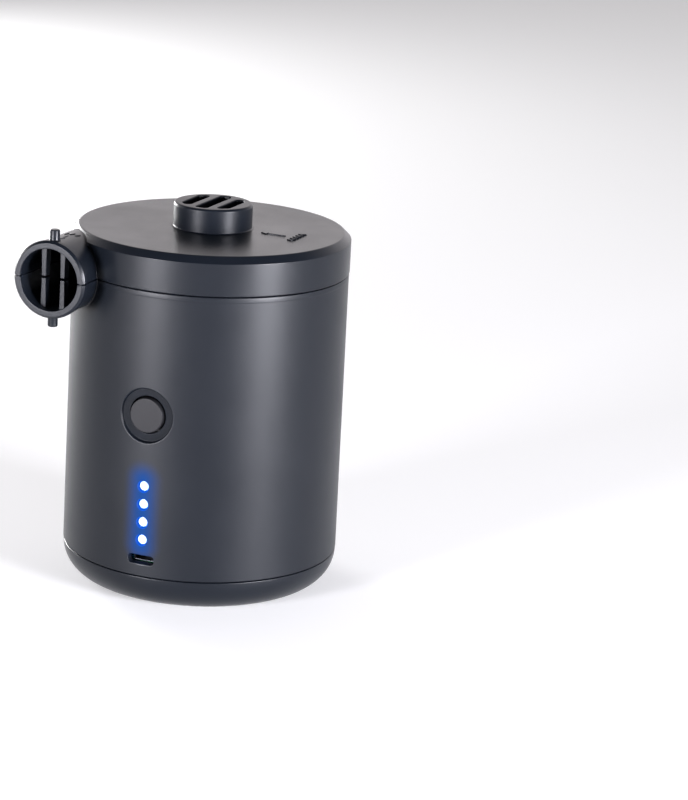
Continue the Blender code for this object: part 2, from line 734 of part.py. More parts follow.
# --------------------------------------------------------------------- boards
def make_boards():
    bm = bmesh.new()
    add_box(bm, (-12, BOARD_FRONT_Y, 19), (12, BOARD_FRONT_Y + BOARD_T, 74))
    piece("indicator_board", bm, BOARD_GREEN)

    half, nose, front, back = 16.0, 6.0, -40.0, 16.0
    outline = [(-half, -36.0), (-nose, -36.0), (-nose, front), (nose, front),
               (nose, -36.0), (half, -36.0), (half, back), (-half, back)]
    bm = bmesh.new()
    add_prism(bm, outline, CHARGE_BOARD_Z, CHARGE_BOARD_TOP)
    board = piece("charge_board", bm, BOARD_GREEN)
    bm = bmesh.new()
    for x, y in BOARD_SCREWS:
        add_rod(bm, 1.3, (x, y, CHARGE_BOARD_Z - OVERRUN), (x, y, CHARGE_BOARD_TOP + OVERRUN), 12)
    cut(board, tool("board_holes", bm))

    # USB socket: a thin shell open at the front, with its contact tongue
    shell_w, shell_h, wall, mouth, depth = 7.5, 2.6, 0.3, -42.1, 5.6
    bm = bmesh.new()
    on_socket = Matrix.Translation((0, 0, USB_Z)) @ UPRIGHT
    add_prism(bm, rounded_rectangle(shell_w, shell_h, 0.7), -mouth - depth, -mouth, on_socket)
    shell = piece("usb_shell", bm, CAN_STEEL)
    bm = bmesh.new()
    inside = rounded_rectangle(shell_w - 2 * wall, shell_h - 2 * wall, 0.5)
    add_prism(bm, inside, -mouth - depth + 0.5, -mouth + OVERRUN, on_socket)
    cut(shell, tool("usb_inside", bm))
    bm = bmesh.new()
    add_box(bm, (-1.9, mouth + 0.8, USB_Z + 0.05), (1.9, mouth + depth - 0.8, USB_Z + 0.6))
    piece("usb_tongue", bm, CHIP_BLACK)

    on_board = CHARGE_BOARD_TOP + GAP
    bm = bmesh.new()
    add_box(bm, (4, -12, on_board), (10, -6, on_board + 1.6))
    piece("charge_chip", bm, CHIP_BLACK)
    coil = turned(
        "charge_inductor",
        [(0, 22), (4.5, 22), (4.5, 20.8), (3.4, 20.6), (3.4, 17.0), (4.5, 16.8), (4.5, on_board), (0, on_board)],
        MAGNET_GREY,
        steps=20,
    )
    coil.location = Vector((-9, -18, 0)) * MM


# -------------------------------------------------------------------- battery
def cell_holder(name, low, high, web_low, pocket_low, pocket_high):
    """Three cups from low to high, joined by a curved web, with a pocket in each."""
    bm = bmesh.new()
    add_prism(bm, sector(20.0, 27.6, 14, 166, 12), web_low, web_low + WEB_H)
    holder = piece(name, bm, HOLDER_ABS)
    cups, pockets = bmesh.new(), bmesh.new()
    for angle in CELL_ANGLES:
        x, y = polar(CELL_PITCH_R, angle)
        add_rod(cups, CUP_R, (x, y, low), (x, y, high), 24)
        add_rod(pockets, POCKET_R, (x, y, pocket_low), (x, y, pocket_high), 20)
    join(holder, tool(f"{name}_cups", cups))
    cut(holder, tool(f"{name}_pockets", pockets))
    return holder


def make_battery():
    profile = [
        (0, CELL_TOP_Z),
        (3.2, CELL_TOP_Z),
        (3.2, CELL_TOP_Z - 0.7),
        (CELL_R - 0.7, CELL_TOP_Z - 0.7),
        (CELL_R, CELL_TOP_Z - 1.4),
        (CELL_R, CELL_BOTTOM_Z + 0.6),
        (CELL_R - 0.6, CELL_BOTTOM_Z),
        (0, CELL_BOTTOM_Z),
    ]
    for i, angle in enumerate(CELL_ANGLES, start=1):
        cell = turned(f"battery_cell_{i}", profile, CELL_WRAP, steps=20)
        x, y = polar(CELL_PITCH_R, angle)
        cell.location = Vector((x, y, 0)) * MM

    pocket_low = STRIP_LOW_Z - GAP
    pocket_high = STRIP_HIGH_Z + STRIP_T + GAP
    cap_top = pocket_high + 1.2
    tray = cell_holder("battery_tray", TRAY_Z, TRAY_TOP_Z, TRAY_Z, pocket_low, TRAY_TOP_Z + OVERRUN)
    cap = cell_holder("battery_cap", CAP_Z, cap_top, cap_top - WEB_H, CAP_Z - OVERRUN, pocket_high)
    for holder, low, high in ((tray, pocket_low, CELL_BOTTOM_Z), (cap, CELL_TOP_Z, pocket_high)):
        bm = bmesh.new()
        add_prism(bm, sector(STRIP_IN_R - GAP, STRIP_OUT_R + GAP, 0, 180, 16), low, high)
        cut(holder, tool(f"{holder.name}_channel", bm))

    for name, low, start, end in (
        ("cell_strip_bottom", STRIP_LOW_Z, 24, 177),
        ("cell_strip_top", STRIP_HIGH_Z, 3, 156),
    ):
        bm = bmesh.new()
        add_prism(bm, sector(STRIP_IN_R, STRIP_OUT_R, start, end, 14), low, low + STRIP_T)
        strip = piece(name, bm, NICKEL)
        bm = bmesh.new()
        for angle in CELL_ANGLES:
            x, y = polar(CELL_PITCH_R, angle)
            add_rod(bm, 3.5, (x, y, low), (x, y, low + STRIP_T), 14)
        join(strip, tool(f"{name}_tabs", bm))


# ---------------------------------------------------------------------- motor
def make_motor():
    front_hole_r = BUSH_R + GAP
    can = turned(
        "motor_can",
        [
            (CAN_R - 0.8, CAN_TOP_Z),
            (CAN_R, CAN_TOP_Z - 0.8),
            (CAN_R, CAN_BOTTOM_Z),
            (CAN_R - CAN_WALL, CAN_BOTTOM_Z),
            (CAN_R - CAN_WALL, CAN_TOP_Z - 1.5),
            (front_hole_r, CAN_TOP_Z - 1.5),
            (front_hole_r, CAN_TOP_Z),
        ],
        CAN_STEEL,
        steps=36,
    )
    bm = bmesh.new()
    for x in (-MOTOR_SCREW_X, MOTOR_SCREW_X):
        add_rod(bm, PILOT_R, (x, 0, CAN_TOP_Z - 1.5 - OVERRUN), (x, 0, CAN_TOP_Z + OVERRUN), 16)
    cut(can, tool("can_screw_holes", bm))

    bell_z, plug_z = CAN_BOTTOM_Z - GAP - 2.0, CAN_BOTTOM_Z + 1.5
    plug_r = CAN_R - CAN_WALL - GAP
    bell = turned(
        "motor_end_bell",
        [
            (plug_r, plug_z),
            (plug_r, CAN_BOTTOM_Z - GAP),
            (CAN_R, CAN_BOTTOM_Z - GAP),
            (CAN_R, bell_z),
            (front_hole_r, bell_z),
            (front_hole_r, plug_z),
        ],
        CHIP_BLACK,
        steps=36,
    )
    terminal_y, terminal_t, terminal_w = 11.0, 0.6, 3.0
    bm = bmesh.new()
    for side in (-1, 1):
        inner, outer = terminal_y - GAP, terminal_y + terminal_t + GAP
        low = (-terminal_w / 2 - GAP, min(side * inner, side * outer), bell_z - OVERRUN)
        high = (terminal_w / 2 + GAP, max(side * inner, side * outer), plug_z + OVERRUN)
        add_box(bm, low, high)
    cut(bell, tool("terminal_slots", bm))

    # Brass terminals: an upright blade with a finger that reaches to the brush
    finger_z = 45.2
    blade = [(terminal_y, 31.0), (terminal_y + terminal_t, 31.0), (terminal_y + terminal_t, finger_z + 0.6),
             (9.2, finger_z + 0.6), (9.2, finger_z), (terminal_y, finger_z)]
    on_side = Matrix(((0, 0, 1, 0), (1, 0, 0, 0), (0, 1, 0, 0), (0, 0, 0, 1)))  # outline to the YZ plane
    for i, side in enumerate((1, -1), start=1):
        place = Matrix.Rotation(math.radians(0 if side > 0 else 180), 4, "Z") @ on_side
        bm = bmesh.new()
        add_prism(bm, blade, -terminal_w / 2, terminal_w / 2, place)
        piece(f"motor_terminal_{i}", bm, BRONZE)
        bm = bmesh.new()
        add_box(bm, (-1.5, min(side * 4.9, side * 8.9), 43.2), (1.5, max(side * 4.9, side * 8.9), 47.2))
        piece(f"motor_brush_{i}", bm, CARBON)

    for i, middle in enumerate((0, 180), start=1):
        bm = bmesh.new()
        add_prism(bm, sector(MAGNET_R[0], MAGNET_R[1], middle - 62, middle + 62, 12), 50.0, 82.0)
        piece(f"motor_magnet_{i}", bm, MAGNET_GREY)

    for name, low, high in (("front_bushing", 83.2, 88.2), ("rear_bushing", 34.8, 39.6)):
        turned(name, [(BUSH_R, high), (BUSH_R, low), (BUSH_BORE_R, low), (BUSH_BORE_R, high)], BRONZE)

    foam_low = CAN_TOP_Z + GAP
    gasket = turned("motor_gasket", [(16.5, foam_low + 1.0), (16.5, foam_low), (5.0, foam_low), (5.0, foam_low + 1.0)],
                    FOAM, steps=32)
    bm = bmesh.new()
    for x in (-MOTOR_SCREW_X, MOTOR_SCREW_X):
        add_rod(bm, CLEAR_R + 0.3, (x, 0, foam_low - OVERRUN), (x, 0, foam_low + OVERRUN + 1), 12)
    cut(gasket, tool("gasket_holes", bm))


def make_armature():
    """Everything that turns inside the motor."""
    shaft_low, shaft_high = 35.3, 106.0
    turned("motor_shaft", [(0, shaft_high), (SHAFT_R, shaft_high), (SHAFT_R, shaft_low), (0, shaft_low)],
           SHAFT_STEEL, ROTOR_BODY)

    low, high = STACK_Z
    shoe_r, tooth_half, hub_r, shoe_half_angle = 11.8, 2.6, 5.0, 50.0
    outline = []
    for turn in range(3):
        mid = 120.0 * turn + 90.0
        outline += arc(STACK_R, mid - shoe_half_angle, mid + shoe_half_angle, 8)
        left = Matrix.Rotation(math.radians(mid - 90), 2)
        outline += [tuple(left @ Vector(p)) for p in ((-tooth_half, shoe_r), (-tooth_half, hub_r))]
        outline += [tuple(Matrix.Rotation(math.radians(mid + 30), 2) @ Vector((tooth_half, hub_r)))]
        outline += [tuple(Matrix.Rotation(math.radians(mid + 30), 2) @ Vector((tooth_half, shoe_r)))]
    bm = bmesh.new()
    add_prism(bm, outline, low, high)
    stack = piece("armature_stack", bm, CAN_STEEL, ROTOR_BODY)
    cut(stack, shaft_bore("stack_bore", BUSH_BORE_R, low, high))

    # Windings fill the three slots and join round both ends of the stack
    end = 3.4
    coil_r = shoe_r - GAP - 0.2
    windings = turned(
        "armature_windings",
        [
            (coil_r - 1.5, high + end),
            (coil_r, high + end - 1.5),
            (coil_r, low - end + 1.5),
            (coil_r - 1.5, low - end),
            (BUSH_BORE_R + 0.4, low - end),
            (BUSH_BORE_R + 0.4, high + end),
        ],
        COPPER,
        ROTOR_BODY,
        steps=30,
    )
    bm = bmesh.new()
    add_rod(bm, hub_r + GAP + 0.3, (0, 0, low - GAP), (0, 0, high + GAP), 24)
    cut(windings, tool("winding_hub", bm))
    bm = bmesh.new()
    half = tooth_half + GAP
    for turn in range(3):
        spoke = [(-half, 2.0), (half, 2.0), (half, STACK_R), (-half, STACK_R)]
        add_prism(bm, spoke, low - GAP, high + GAP, Matrix.Rotation(math.radians(120 * turn), 4, "Z"))
    cut(windings, tool("winding_teeth", bm))

    turned("commutator", [(4.6, 48.5), (4.6, 42.0), (1.9, 42.0), (1.9, 48.5)], COPPER, ROTOR_BODY)


def shaft_bore(name, radius, low, high):
    bm = bmesh.new()
    add_rod(bm, radius, (0, 0, low - OVERRUN), (0, 0, high + OVERRUN), 24)
    return tool(name, bm)


def make_impeller():
    low, high = IMPELLER_Z
    plate, hub_low_r, hub_top_r, hub_top, hole_r = 1.6, 7.0, 5.0, 107.0, 3.0
    impeller = turned(
        "impeller",
        [
            (hub_top_r, hub_top),
            (hub_low_r, low + plate + 1.5),
            (hub_low_r + 2.0, low + plate),
            (IMPELLER_R, low + plate),
            (IMPELLER_R, low),
            (hole_r, low),
            (hole_r, hub_top),
        ],
        IMPELLER_PA,
        ROTOR_BODY,
        steps=48,
    )
    inner_r, outer_r, thickness, sweep, count = 9.5, IMPELLER_R - 0.4, 1.2, -48.0, 3
    bm = bmesh.new()
    for blade in range(BLADES):
        rear, front = [], []
        for i in range(count + 1):
            part = i / count
            radius = inner_r + (outer_r - inner_r) * part
            angle = 360.0 * blade / BLADES + sweep * part
            half = math.degrees(thickness / 2 / radius) * 1.25
            rear.append(polar(radius, angle - half))
            front.append(polar(radius, angle + half))
        add_prism(bm, rear + front[::-1], low + plate - EMBED, high)
    join(impeller, tool("impeller_blades", bm))
    turned("impeller_insert", [(2.7, 105.5), (2.7, 95.0), (BUSH_BORE_R, 95.0), (BUSH_BORE_R, 105.5)],
           BRONZE, ROTOR_BODY, steps=20)


# ---------------------------------------------------------------------- wires
def wire(name, points, radius, finish, body=HOUSING_BODY):
    """A round wire through the points, with flat closed ends."""
    curve = bpy.data.curves.new(name, "CURVE")
    curve.dimensions = "3D"
    curve.bevel_depth = radius * MM
    curve.bevel_resolution = 2
    curve.use_fill_caps = True
    spline = curve.splines.new("POLY")
    spline.points.add(len(points) - 1)
    for target, point in zip(spline.points, points):
        target.co = (*(Vector(point) * MM), 1.0)
    return adopt(bpy.data.objects.new(name, curve), finish, body)


def smooth_route(knots, steps=3):
    """Points on one smooth curve through the knots (Catmull-Rom)."""
    ends = [knots[0], *knots, knots[-1]]
    route = []
    for a, b, c, d in zip(ends, ends[1:], ends[2:], ends[3:]):
        a, b, c, d = (Vector(p) for p in (a, b, c, d))
        for i in range(steps):
            t = i / steps
            route.append(0.5 * (2 * b + (c - a) * t + (2 * a - 5 * b + 4 * c - d) * t**2
                                + (3 * b - a - 3 * c + d) * t**3))
    return route + [Vector(knots[-1])]


def make_wires():
    board = CHARGE_BOARD_TOP + GAP
    top = CELL_TOP_Z
    routes = {
        "battery_wire_red": (WIRE_RED, [(25.2, 2.0, top), (25.2, 1.2, top - 8), (25.0, -1.5, 60), (25.0, -2.0, 36),
                                        (22.0, -5.0, 24), (14.0, -6.0, 19.5), (12.5, -6.0, board)]),
        "battery_wire_black": (WIRE_BLACK, [(-25.2, 2.0, CELL_BOTTOM_Z), (-25.0, 0.5, 22.5), (-21.0, -3.5, 24.0),
                                            (-14.5, -6.0, 20.5), (-12.5, -6.5, board)]),
        "motor_wire_red": (WIRE_RED, [(0, 11.3, 30.7), (0.5, 11.2, 27.0), (3.0, 9.0, 21.0), (3.5, 8.0, board)]),
        "motor_wire_black": (WIRE_BLACK, [(0, -11.3, 30.7), (-0.3, -11.0, 27.0), (-1.5, -7.0, 21.0),
                                          (-2.0, -5.0, board)]),
    }
    for name, (finish, knots) in routes.items():
        wire(name, smooth_route(knots), 0.65, finish)


# ------------------------------------------------------------------- assembly
def make_all_screws():
    lid_spots = [polar(LID_SCREW_R, angle) for angle in LID_SCREW_ANGLES]
    base_spots = [polar(BASE_SCREW_R, angle) for angle in BASE_SCREW_ANGLES]
    motor_spots = [(-MOTOR_SCREW_X, 0), (MOTOR_SCREW_X, 0)]
    make_screws("lid_screw", lid_spots, 15.0, True, LUG_Z - GAP)
    make_screws("base_screw", base_spots, 19.0, True, BASE_SEAT_Z - GAP)
    make_screws("motor_screw", motor_spots, 6.0, False, DECK_TOP_Z + GAP)
    make_screws("board_screw", BOARD_SCREWS, 7.5, False, CHARGE_BOARD_TOP + GAP, shank_r=1.0, head_r=1.9)


make_main_housing()
make_fan_deck()
make_lid()
make_intake_port()
make_base_cover()
make_all_screws()
make_button()
make_lights()
make_boards()
make_battery()
make_motor()
make_armature()
make_impeller()
make_wires()
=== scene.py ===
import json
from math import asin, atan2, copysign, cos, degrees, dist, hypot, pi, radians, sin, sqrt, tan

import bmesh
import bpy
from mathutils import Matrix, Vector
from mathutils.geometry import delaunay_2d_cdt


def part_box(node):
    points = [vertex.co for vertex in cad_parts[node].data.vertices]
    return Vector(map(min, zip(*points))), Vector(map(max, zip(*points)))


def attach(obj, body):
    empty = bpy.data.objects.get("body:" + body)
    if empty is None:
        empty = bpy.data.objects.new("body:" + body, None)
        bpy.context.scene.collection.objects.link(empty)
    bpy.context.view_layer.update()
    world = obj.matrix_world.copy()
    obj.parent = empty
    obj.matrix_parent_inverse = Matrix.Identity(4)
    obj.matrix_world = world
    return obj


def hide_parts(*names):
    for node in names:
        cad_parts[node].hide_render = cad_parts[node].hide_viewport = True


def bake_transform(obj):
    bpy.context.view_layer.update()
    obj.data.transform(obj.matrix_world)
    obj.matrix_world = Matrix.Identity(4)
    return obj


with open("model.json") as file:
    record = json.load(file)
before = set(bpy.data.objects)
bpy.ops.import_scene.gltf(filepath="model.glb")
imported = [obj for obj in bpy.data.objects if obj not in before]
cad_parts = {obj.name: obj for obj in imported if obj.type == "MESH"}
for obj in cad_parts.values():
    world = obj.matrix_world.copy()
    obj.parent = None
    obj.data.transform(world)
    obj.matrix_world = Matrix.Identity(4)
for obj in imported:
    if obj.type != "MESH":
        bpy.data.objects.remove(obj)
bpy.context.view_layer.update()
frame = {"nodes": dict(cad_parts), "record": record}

# Cordless air mattress pump on a pale studio floor.  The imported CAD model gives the
# main sizes and places; the shells, the port, the nozzle, the button, its spring, the
# light rods, the socket's shell and the impeller are made again here with a fine
# surface, and the constants below repeat the CAD's finer sizes.  The light rods end
# 0.7 mm further forward than the CAD's, and the button is 0.12 mm smaller in radius.
# Lengths are in millimetres, and MM turns them into metres.  Materials, the floor,
# the lights and the camera are in metres.

MM = 0.001


def box_mm(node):
    low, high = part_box(node)
    return low / MM, high / MM


# -------- sizes and places
HOUSING_LOW, HOUSING_HIGH = box_mm("main_housing")
LID_LOW, LID_HIGH = box_mm("lid")
BASE_R = box_mm("base_cover")[1].x
PORT_LOW, PORT_HIGH = box_mm("intake_port")
BUTTON_LOW, BUTTON_HIGH = box_mm("power_button")
PIPE_LOW, PIPE_HIGH = box_mm("light_pipe")
SHELL_LOW, SHELL_HIGH = box_mm("usb_shell")
SPRING_LOW, SPRING_HIGH = box_mm("button_spring")
FAN_LOW, FAN_HIGH = box_mm("impeller")

SEAM = 0.15  # half of the slit between two shells
EDGE = 0.28  # radius of the shells' moulded edges
WALL = 2.5
SPIGOT_H = 3.0
SPIGOT_WALL = 1.4

FOOT_R = HOUSING_HIGH.x  # the housing's radius at its foot
TOP_R = FOOT_R - 0.4
INNER_R = FOOT_R - WALL - 0.2
SPIGOT_R = INNER_R - 0.5
BASE_SEAM_Z = HOUSING_LOW.z - SEAM
LID_SEAM_Z = HOUSING_HIGH.z + SEAM
RIM_H = 1.6  # height of the slightly prouder rim below the lid
RIM_OUT = 0.03
RIM_Z = LID_SEAM_Z - SEAM - RIM_H

LID_R = LID_HIGH.x
CEILING_Z = PORT_LOW.z
TOP_Z = CEILING_Z + WALL
CHAMFER_H = 2.1
CHAMFER_IN = 2.2
MARK_H = 0.35  # the raised marks stand this far above the lid's top

BASE_FILLET_R = 10.7
BASE_FLOOR = 2.5
BASE_SCREW_R, BASE_SCREW_ANGLES = 31.6, (-45.0, 60.0, 120.0, 225.0)
WELL_R, WELL_TOP_Z = 3.0, 8.0
SCREW_CLEAR_R = 1.7

PORT_TOP_Z = PORT_HIGH.z
PORT_FOOT_R = PORT_HIGH.x
PORT_R = PORT_FOOT_R - 0.4
PORT_NECK_R = PORT_FOOT_R - 0.8
PORT_BORE_R = PORT_R - 2.0
PORT_ROUND = 0.9
PORT_PLATE = 2.0
SLOT_END_R = 10.4
SLOT_CORNER = 1.35
SLOTS = ((-8.4, -4.6), (-2.1, 2.1), (4.6, 8.4))

NOZZLE_FRONT_Y = LID_LOW.y
NOZZLE_R = 12.5
NOZZLE_X = LID_LOW.x + NOZZLE_R
NOZZLE_LIP_R = NOZZLE_R - 0.35
NOZZLE_ROOT_R = 11.7
NOZZLE_ROOT_Y = 0.7
NOZZLE_BORE_R = 10.0
NOZZLE_BORE_END_Y = -2.0
# Turned shapes about the nozzle's axis: their Z runs from its front face into the body,
# and their angles from +X downwards.
NOZZLE_PLACE = Matrix(
    ((1, 0, 0, NOZZLE_X), (0, 0, 1, NOZZLE_FRONT_Y), (0, -1, 0, LID_SEAM_Z), (0, 0, 0, 1))
)
BODY_TRIM_R = TOP_R - 1.5  # the nozzle's tube is cut away inside this radius
# The tongue on each side behind the nozzle's seam: place, thickness, half height
TONGUE_R, TONGUE_T, TONGUE_H = 10.92, 0.95, 0.55
TONGUE_SETBACK = 0.45
TONGUE_ENDS_Y = (NOZZLE_BORE_END_Y, -INNER_R + 8.0)  # on the -X side and on the +X side
BAR_OFFSET = 3.3
BAR_WALL_W, BAR_SEAM_W = 1.9, 1.45
BAR_FRONT_Y = NOZZLE_FRONT_Y + 3.0
BAR_DEPTH = 3.0
BAR_GAP = 0.7
PIN_R = 1.6
PIN_Y = NOZZLE_FRONT_Y + 3.6
PIN_REACH = LID_HIGH.z - LID_SEAM_Z

BUTTON_Z = (BUTTON_LOW.z + BUTTON_HIGH.z) / 2
BUTTON_FACE_Y = BUTTON_LOW.y
BUTTON_BACK_Y = BUTTON_HIGH.y
BUTTON_R = 5.75 - 0.12  # a little under the CAD's, so that the gap shows
FLANGE_R = (BUTTON_HIGH.z - BUTTON_LOW.z) / 2
FLANGE_T = 1.0
DISH_R, DISH_Y = 8.8, -43.6
BUTTON_HOLE_R = 6.2
LED_Z = (41.3, 35.3, 29.3, 23.4)
LED_HOLE_R = 1.95
ROD_R = 1.55
ROD_FRONT_Y = PIPE_LOW.y - 0.7  # just behind the wall's face, further forward than in the CAD
USB_Z = (SHELL_LOW.z + SHELL_HIGH.z) / 2
USB_SLOT = (8.9, 3.0, 1.1)  # width, height, corner radius

STEPS = 240  # facets round the body
PATCH_X = 14.0  # half width of the front part that holds the button and the lights
HOLES = [("dish", BUTTON_Z), ("usb", USB_Z)] + [("led", z) for z in LED_Z]
LIPS = {"dish": 0.45, "led": 0.22, "usb": 0.25}  # radius of each hole's rounded edge
BOSS_R = DISH_R + 0.7  # round the dish, inside the wall
LED_STEPS, DISH_STEPS = 40, 120


# -------- mesh helpers
SHARP = 35.0  # an edge between faces that differ by more degrees than this stays sharp


def placed(name, data):
    """A new object in the scene."""
    obj = bpy.data.objects.new(name, data)
    bpy.context.scene.collection.objects.link(obj)
    return obj


def object_from(bm, name, sharp=SHARP):
    """Finishes a bmesh in millimetres as an object in the scene."""
    bmesh.ops.remove_doubles(bm, verts=bm.verts, dist=0.002)
    bmesh.ops.recalc_face_normals(bm, faces=bm.faces)
    bmesh.ops.scale(bm, vec=(MM, MM, MM), verts=bm.verts)
    mesh = bpy.data.meshes.new(name)
    bm.to_mesh(mesh)
    bm.free()
    shade(mesh, sharp)
    return placed(name, mesh)


def box_mesh(bm, low, high, edge, taper=None):
    """A box with rounded edges.  taper(corner) may move its corners first."""
    corners = bmesh.ops.create_cube(bm, size=1.0)["verts"]
    low, high = Vector(low), Vector(high)
    for v in corners:
        part = v.co + Vector((0.5, 0.5, 0.5))
        v.co = Vector(a + (b - a) * t for a, b, t in zip(low, high, part))
        if taper:
            v.co = taper(v.co)
    edges = list(dict.fromkeys(e for v in corners for e in v.link_edges))
    bmesh.ops.bevel(bm, geom=edges, offset=edge, segments=3, profile=0.5, affect="EDGES")


def shade(mesh, sharp, normals=None):
    """Smooth shading with sharp edges, and its own normal where normals(co) gives one."""
    mesh.shade_smooth()
    mesh.set_sharp_from_angle(angle=radians(sharp))
    if normals is None:
        return
    corners = [Vector(n.vector) for n in mesh.corner_normals]
    for face in mesh.polygons:
        for loop in face.loop_indices:
            given = normals(mesh.vertices[mesh.loops[loop].vertex_index].co / MM)
            if given is not None and given.dot(face.normal) > 0.8:
                corners[loop] = given
    mesh.normals_split_custom_set(corners)


def apply_booleans(obj, tools, normals=None):
    """Cuts the tools out of obj for good and removes them."""
    for helper in tools:
        modifier = obj.modifiers.new(helper.name, "BOOLEAN")
        modifier.operation = "DIFFERENCE"
        modifier.solver = "EXACT"
        modifier.object = helper
    bpy.context.view_layer.update()
    evaluated = obj.evaluated_get(bpy.context.evaluated_depsgraph_get())
    cut = bpy.data.meshes.new_from_object(evaluated)
    obj.modifiers.clear()
    obj.data = cut
    for helper in tools:
        bpy.data.objects.remove(helper, do_unlink=True)
    shade(cut, SHARP, normals)


def rounded(corners, count=5):
    """A profile from (r, z, fillet) corners: each corner with a fillet becomes an arc."""
    profile = []
    for i, (r, z, fillet) in enumerate(corners):
        here = Vector((r, z))
        if fillet <= 0:
            profile.append(here)
            continue
        before = (Vector(corners[i - 1][:2]) - here).normalized()
        after = (Vector(corners[(i + 1) % len(corners)][:2]) - here).normalized()
        half = before.angle(after) / 2
        reach = fillet / tan(half)
        centre = here + (before + after).normalized() * (fillet / sin(half))
        start, end = here + before * reach - centre, here + after * reach - centre
        turn = start.angle_signed(end)
        for step in range(count + 1):
            a = -turn * step / count
            c, s = cos(a), sin(a)
            turned = Vector((c * start.x - s * start.y, s * start.x + c * start.y))
            profile.append(centre + turned)
    return profile


def revolve(bm, profile, steps, start=0.0, sweep=360.0, closed=True, place=Matrix.Identity(4)):
    """Turns a profile of (r, z) about Z."""
    full = abs(sweep) >= 360.0
    rings = []
    for i in range(steps if full else steps + 1):
        angle = radians(start + sweep * i / steps)
        c, s = cos(angle), sin(angle)
        rings.append([bm.verts.new(place @ Vector((r * c, r * s, z))) for r, z in profile])
    count = len(profile)
    for i in range(len(rings) if full else len(rings) - 1):
        one, two = rings[i], rings[(i + 1) % len(rings)]
        for j in range(count if closed else count - 1):
            k = (j + 1) % count
            quad = [one[j], two[j], two[k], one[k]]
            if profile[j][0] < 1e-6:
                quad.remove(two[j])
            if profile[k][0] < 1e-6:
                quad.remove(two[k])
            if len(quad) >= 3:
                bm.faces.new(quad)


def skin(bm, loops):
    """Quads between each closed loop of vertices and the next."""
    for one, two in zip(loops, loops[1:]):
        for i in range(len(one)):
            k = (i + 1) % len(one)
            bm.faces.new((one[i], one[k], two[k], two[i]))


def solid(bm, loops):
    """Skin over closed loops of vertices, with both ends closed."""
    skin(bm, loops)
    bm.faces.new(loops[0])
    bm.faces.new(loops[-1])


def loft(bm, loops):
    """A solid from closed loops of points."""
    solid(bm, [[bm.verts.new(p) for p in loop] for loop in loops])


def inside(point, loop):
    """Whether a 2D point lies in a closed 2D loop."""
    x, y = point
    odd = False
    for (x1, y1), (x2, y2) in zip(loop, loop[1:] + loop[:1]):
        if (y1 > y) != (y2 > y) and x < (x2 - x1) * (y - y1) / (y2 - y1) + x1:
            odd = not odd
    return odd


def holed_sheet(bm, outline, holes, spots, place):
    """A triangulated sheet inside an outline and outside its holes, all 2D loops.
    place puts a 2D point in space.  Returns the holes' loops as vertices."""
    points = [Vector(p) for p in outline]
    edges = [(i, (i + 1) % len(outline)) for i in range(len(outline))]
    first = []
    for hole in holes:
        base = len(points)
        first.append(base)
        points += [Vector(p) for p in hole]
        edges += [(base + i, base + (i + 1) % len(hole)) for i in range(len(hole))]
    points += [Vector(p) for p in spots]
    verts, _, faces, origins, _, _ = delaunay_2d_cdt(points, edges, [], 1, 1e-6)
    made = [bm.verts.new(place(*v)) for v in verts]
    where = {old: new for new, olds in enumerate(origins) for old in olds}
    for face in faces:
        middle = sum((verts[i] for i in face), Vector((0, 0))) / len(face)
        if not any(inside(middle, [tuple(p) for p in hole]) for hole in holes):
            bm.faces.new([made[i] for i in face])
    return [[made[where[base + i]] for i in range(len(hole))] for base, hole in zip(first, holes)]


def circle(radius, count, centre=(0.0, 0.0)):
    angles = [2 * pi * i / count for i in range(count)]
    return [(centre[0] + radius * cos(a), centre[1] + radius * sin(a)) for a in angles]


def arc(radius, start, end, count, centre=(0.0, 0.0)):
    angles = [radians(start + (end - start) * i / count) for i in range(count + 1)]
    return [(centre[0] + radius * cos(a), centre[1] + radius * sin(a)) for a in angles]


def rounded_rectangle(width, height, radius, centre=(0.0, 0.0), count=8):
    points = []
    for sx, sy, start in ((1, -1, -90), (1, 1, 0), (-1, 1, 90), (-1, -1, 180)):
        middle = (centre[0] + sx * (width / 2 - radius), centre[1] + sy * (height / 2 - radius))
        points += arc(radius, start, start + 90, count, middle)
    return points


def slot_outline(low_x, high_x, out=0.0, count=5):
    """Outline of a slot in the port: straight sides, ends on a circle, round corners.
    out moves it outwards."""
    reach = SLOT_END_R - SLOT_CORNER
    points = []
    for side, x in ((1, high_x - SLOT_CORNER), (-1, low_x + SLOT_CORNER)):
        y = sqrt(reach**2 - x**2)
        toward = degrees(atan2(y, x))
        flat = 0.0 if side > 0 else 180.0
        start, end = (flat, toward) if side > 0 else (toward, flat)
        points += arc(SLOT_CORNER + out, start, end, count, (x, y))
        if side > 0:
            other_x = low_x + SLOT_CORNER
            other = degrees(atan2(sqrt(reach**2 - other_x**2), other_x))
            points += arc(SLOT_END_R + out, toward, other, 2 * count)[1:-1]
    return points + [(x, -y) for x, y in reversed(points)]


def lip(radius, count=4):
    """Steps over a rounded edge: how far out of the hole, and how deep."""
    steps = []
    for i in range(count + 1):
        a = pi / 2 * i / count
        steps.append((radius * (1 - sin(a)), radius * (1 - cos(a))))
    return steps


# -------- materials
SHELL_COLOUR = (0.004, 0.0053, 0.008)
BODY_ROUGH, LID_ROUGH = 0.37, 0.31
SHELL_GRAIN = 0.000016
SHELL_GLOSS = 0.23  # the shells' specular level
PORT_GLOSS = 0.68 * SHELL_GLOSS
# The painted blue glow of the charge lights: its reach on the housing and the radius of a rod's white
# core, in metres, then its strength on the wall and on the edges of the rods' holes
GLOW_REACH, CORE_R = 0.0076, 0.0007
WALL_LIGHT, HOLE_LIGHT = 0.36, 0.35
# Share of the housing's gloss that is lost in the painted blue glow, and in the dish, where the loss is
# painted shade
GLOW_DULL, DISH_PAINTED_SHADE = 0.9, 0.68


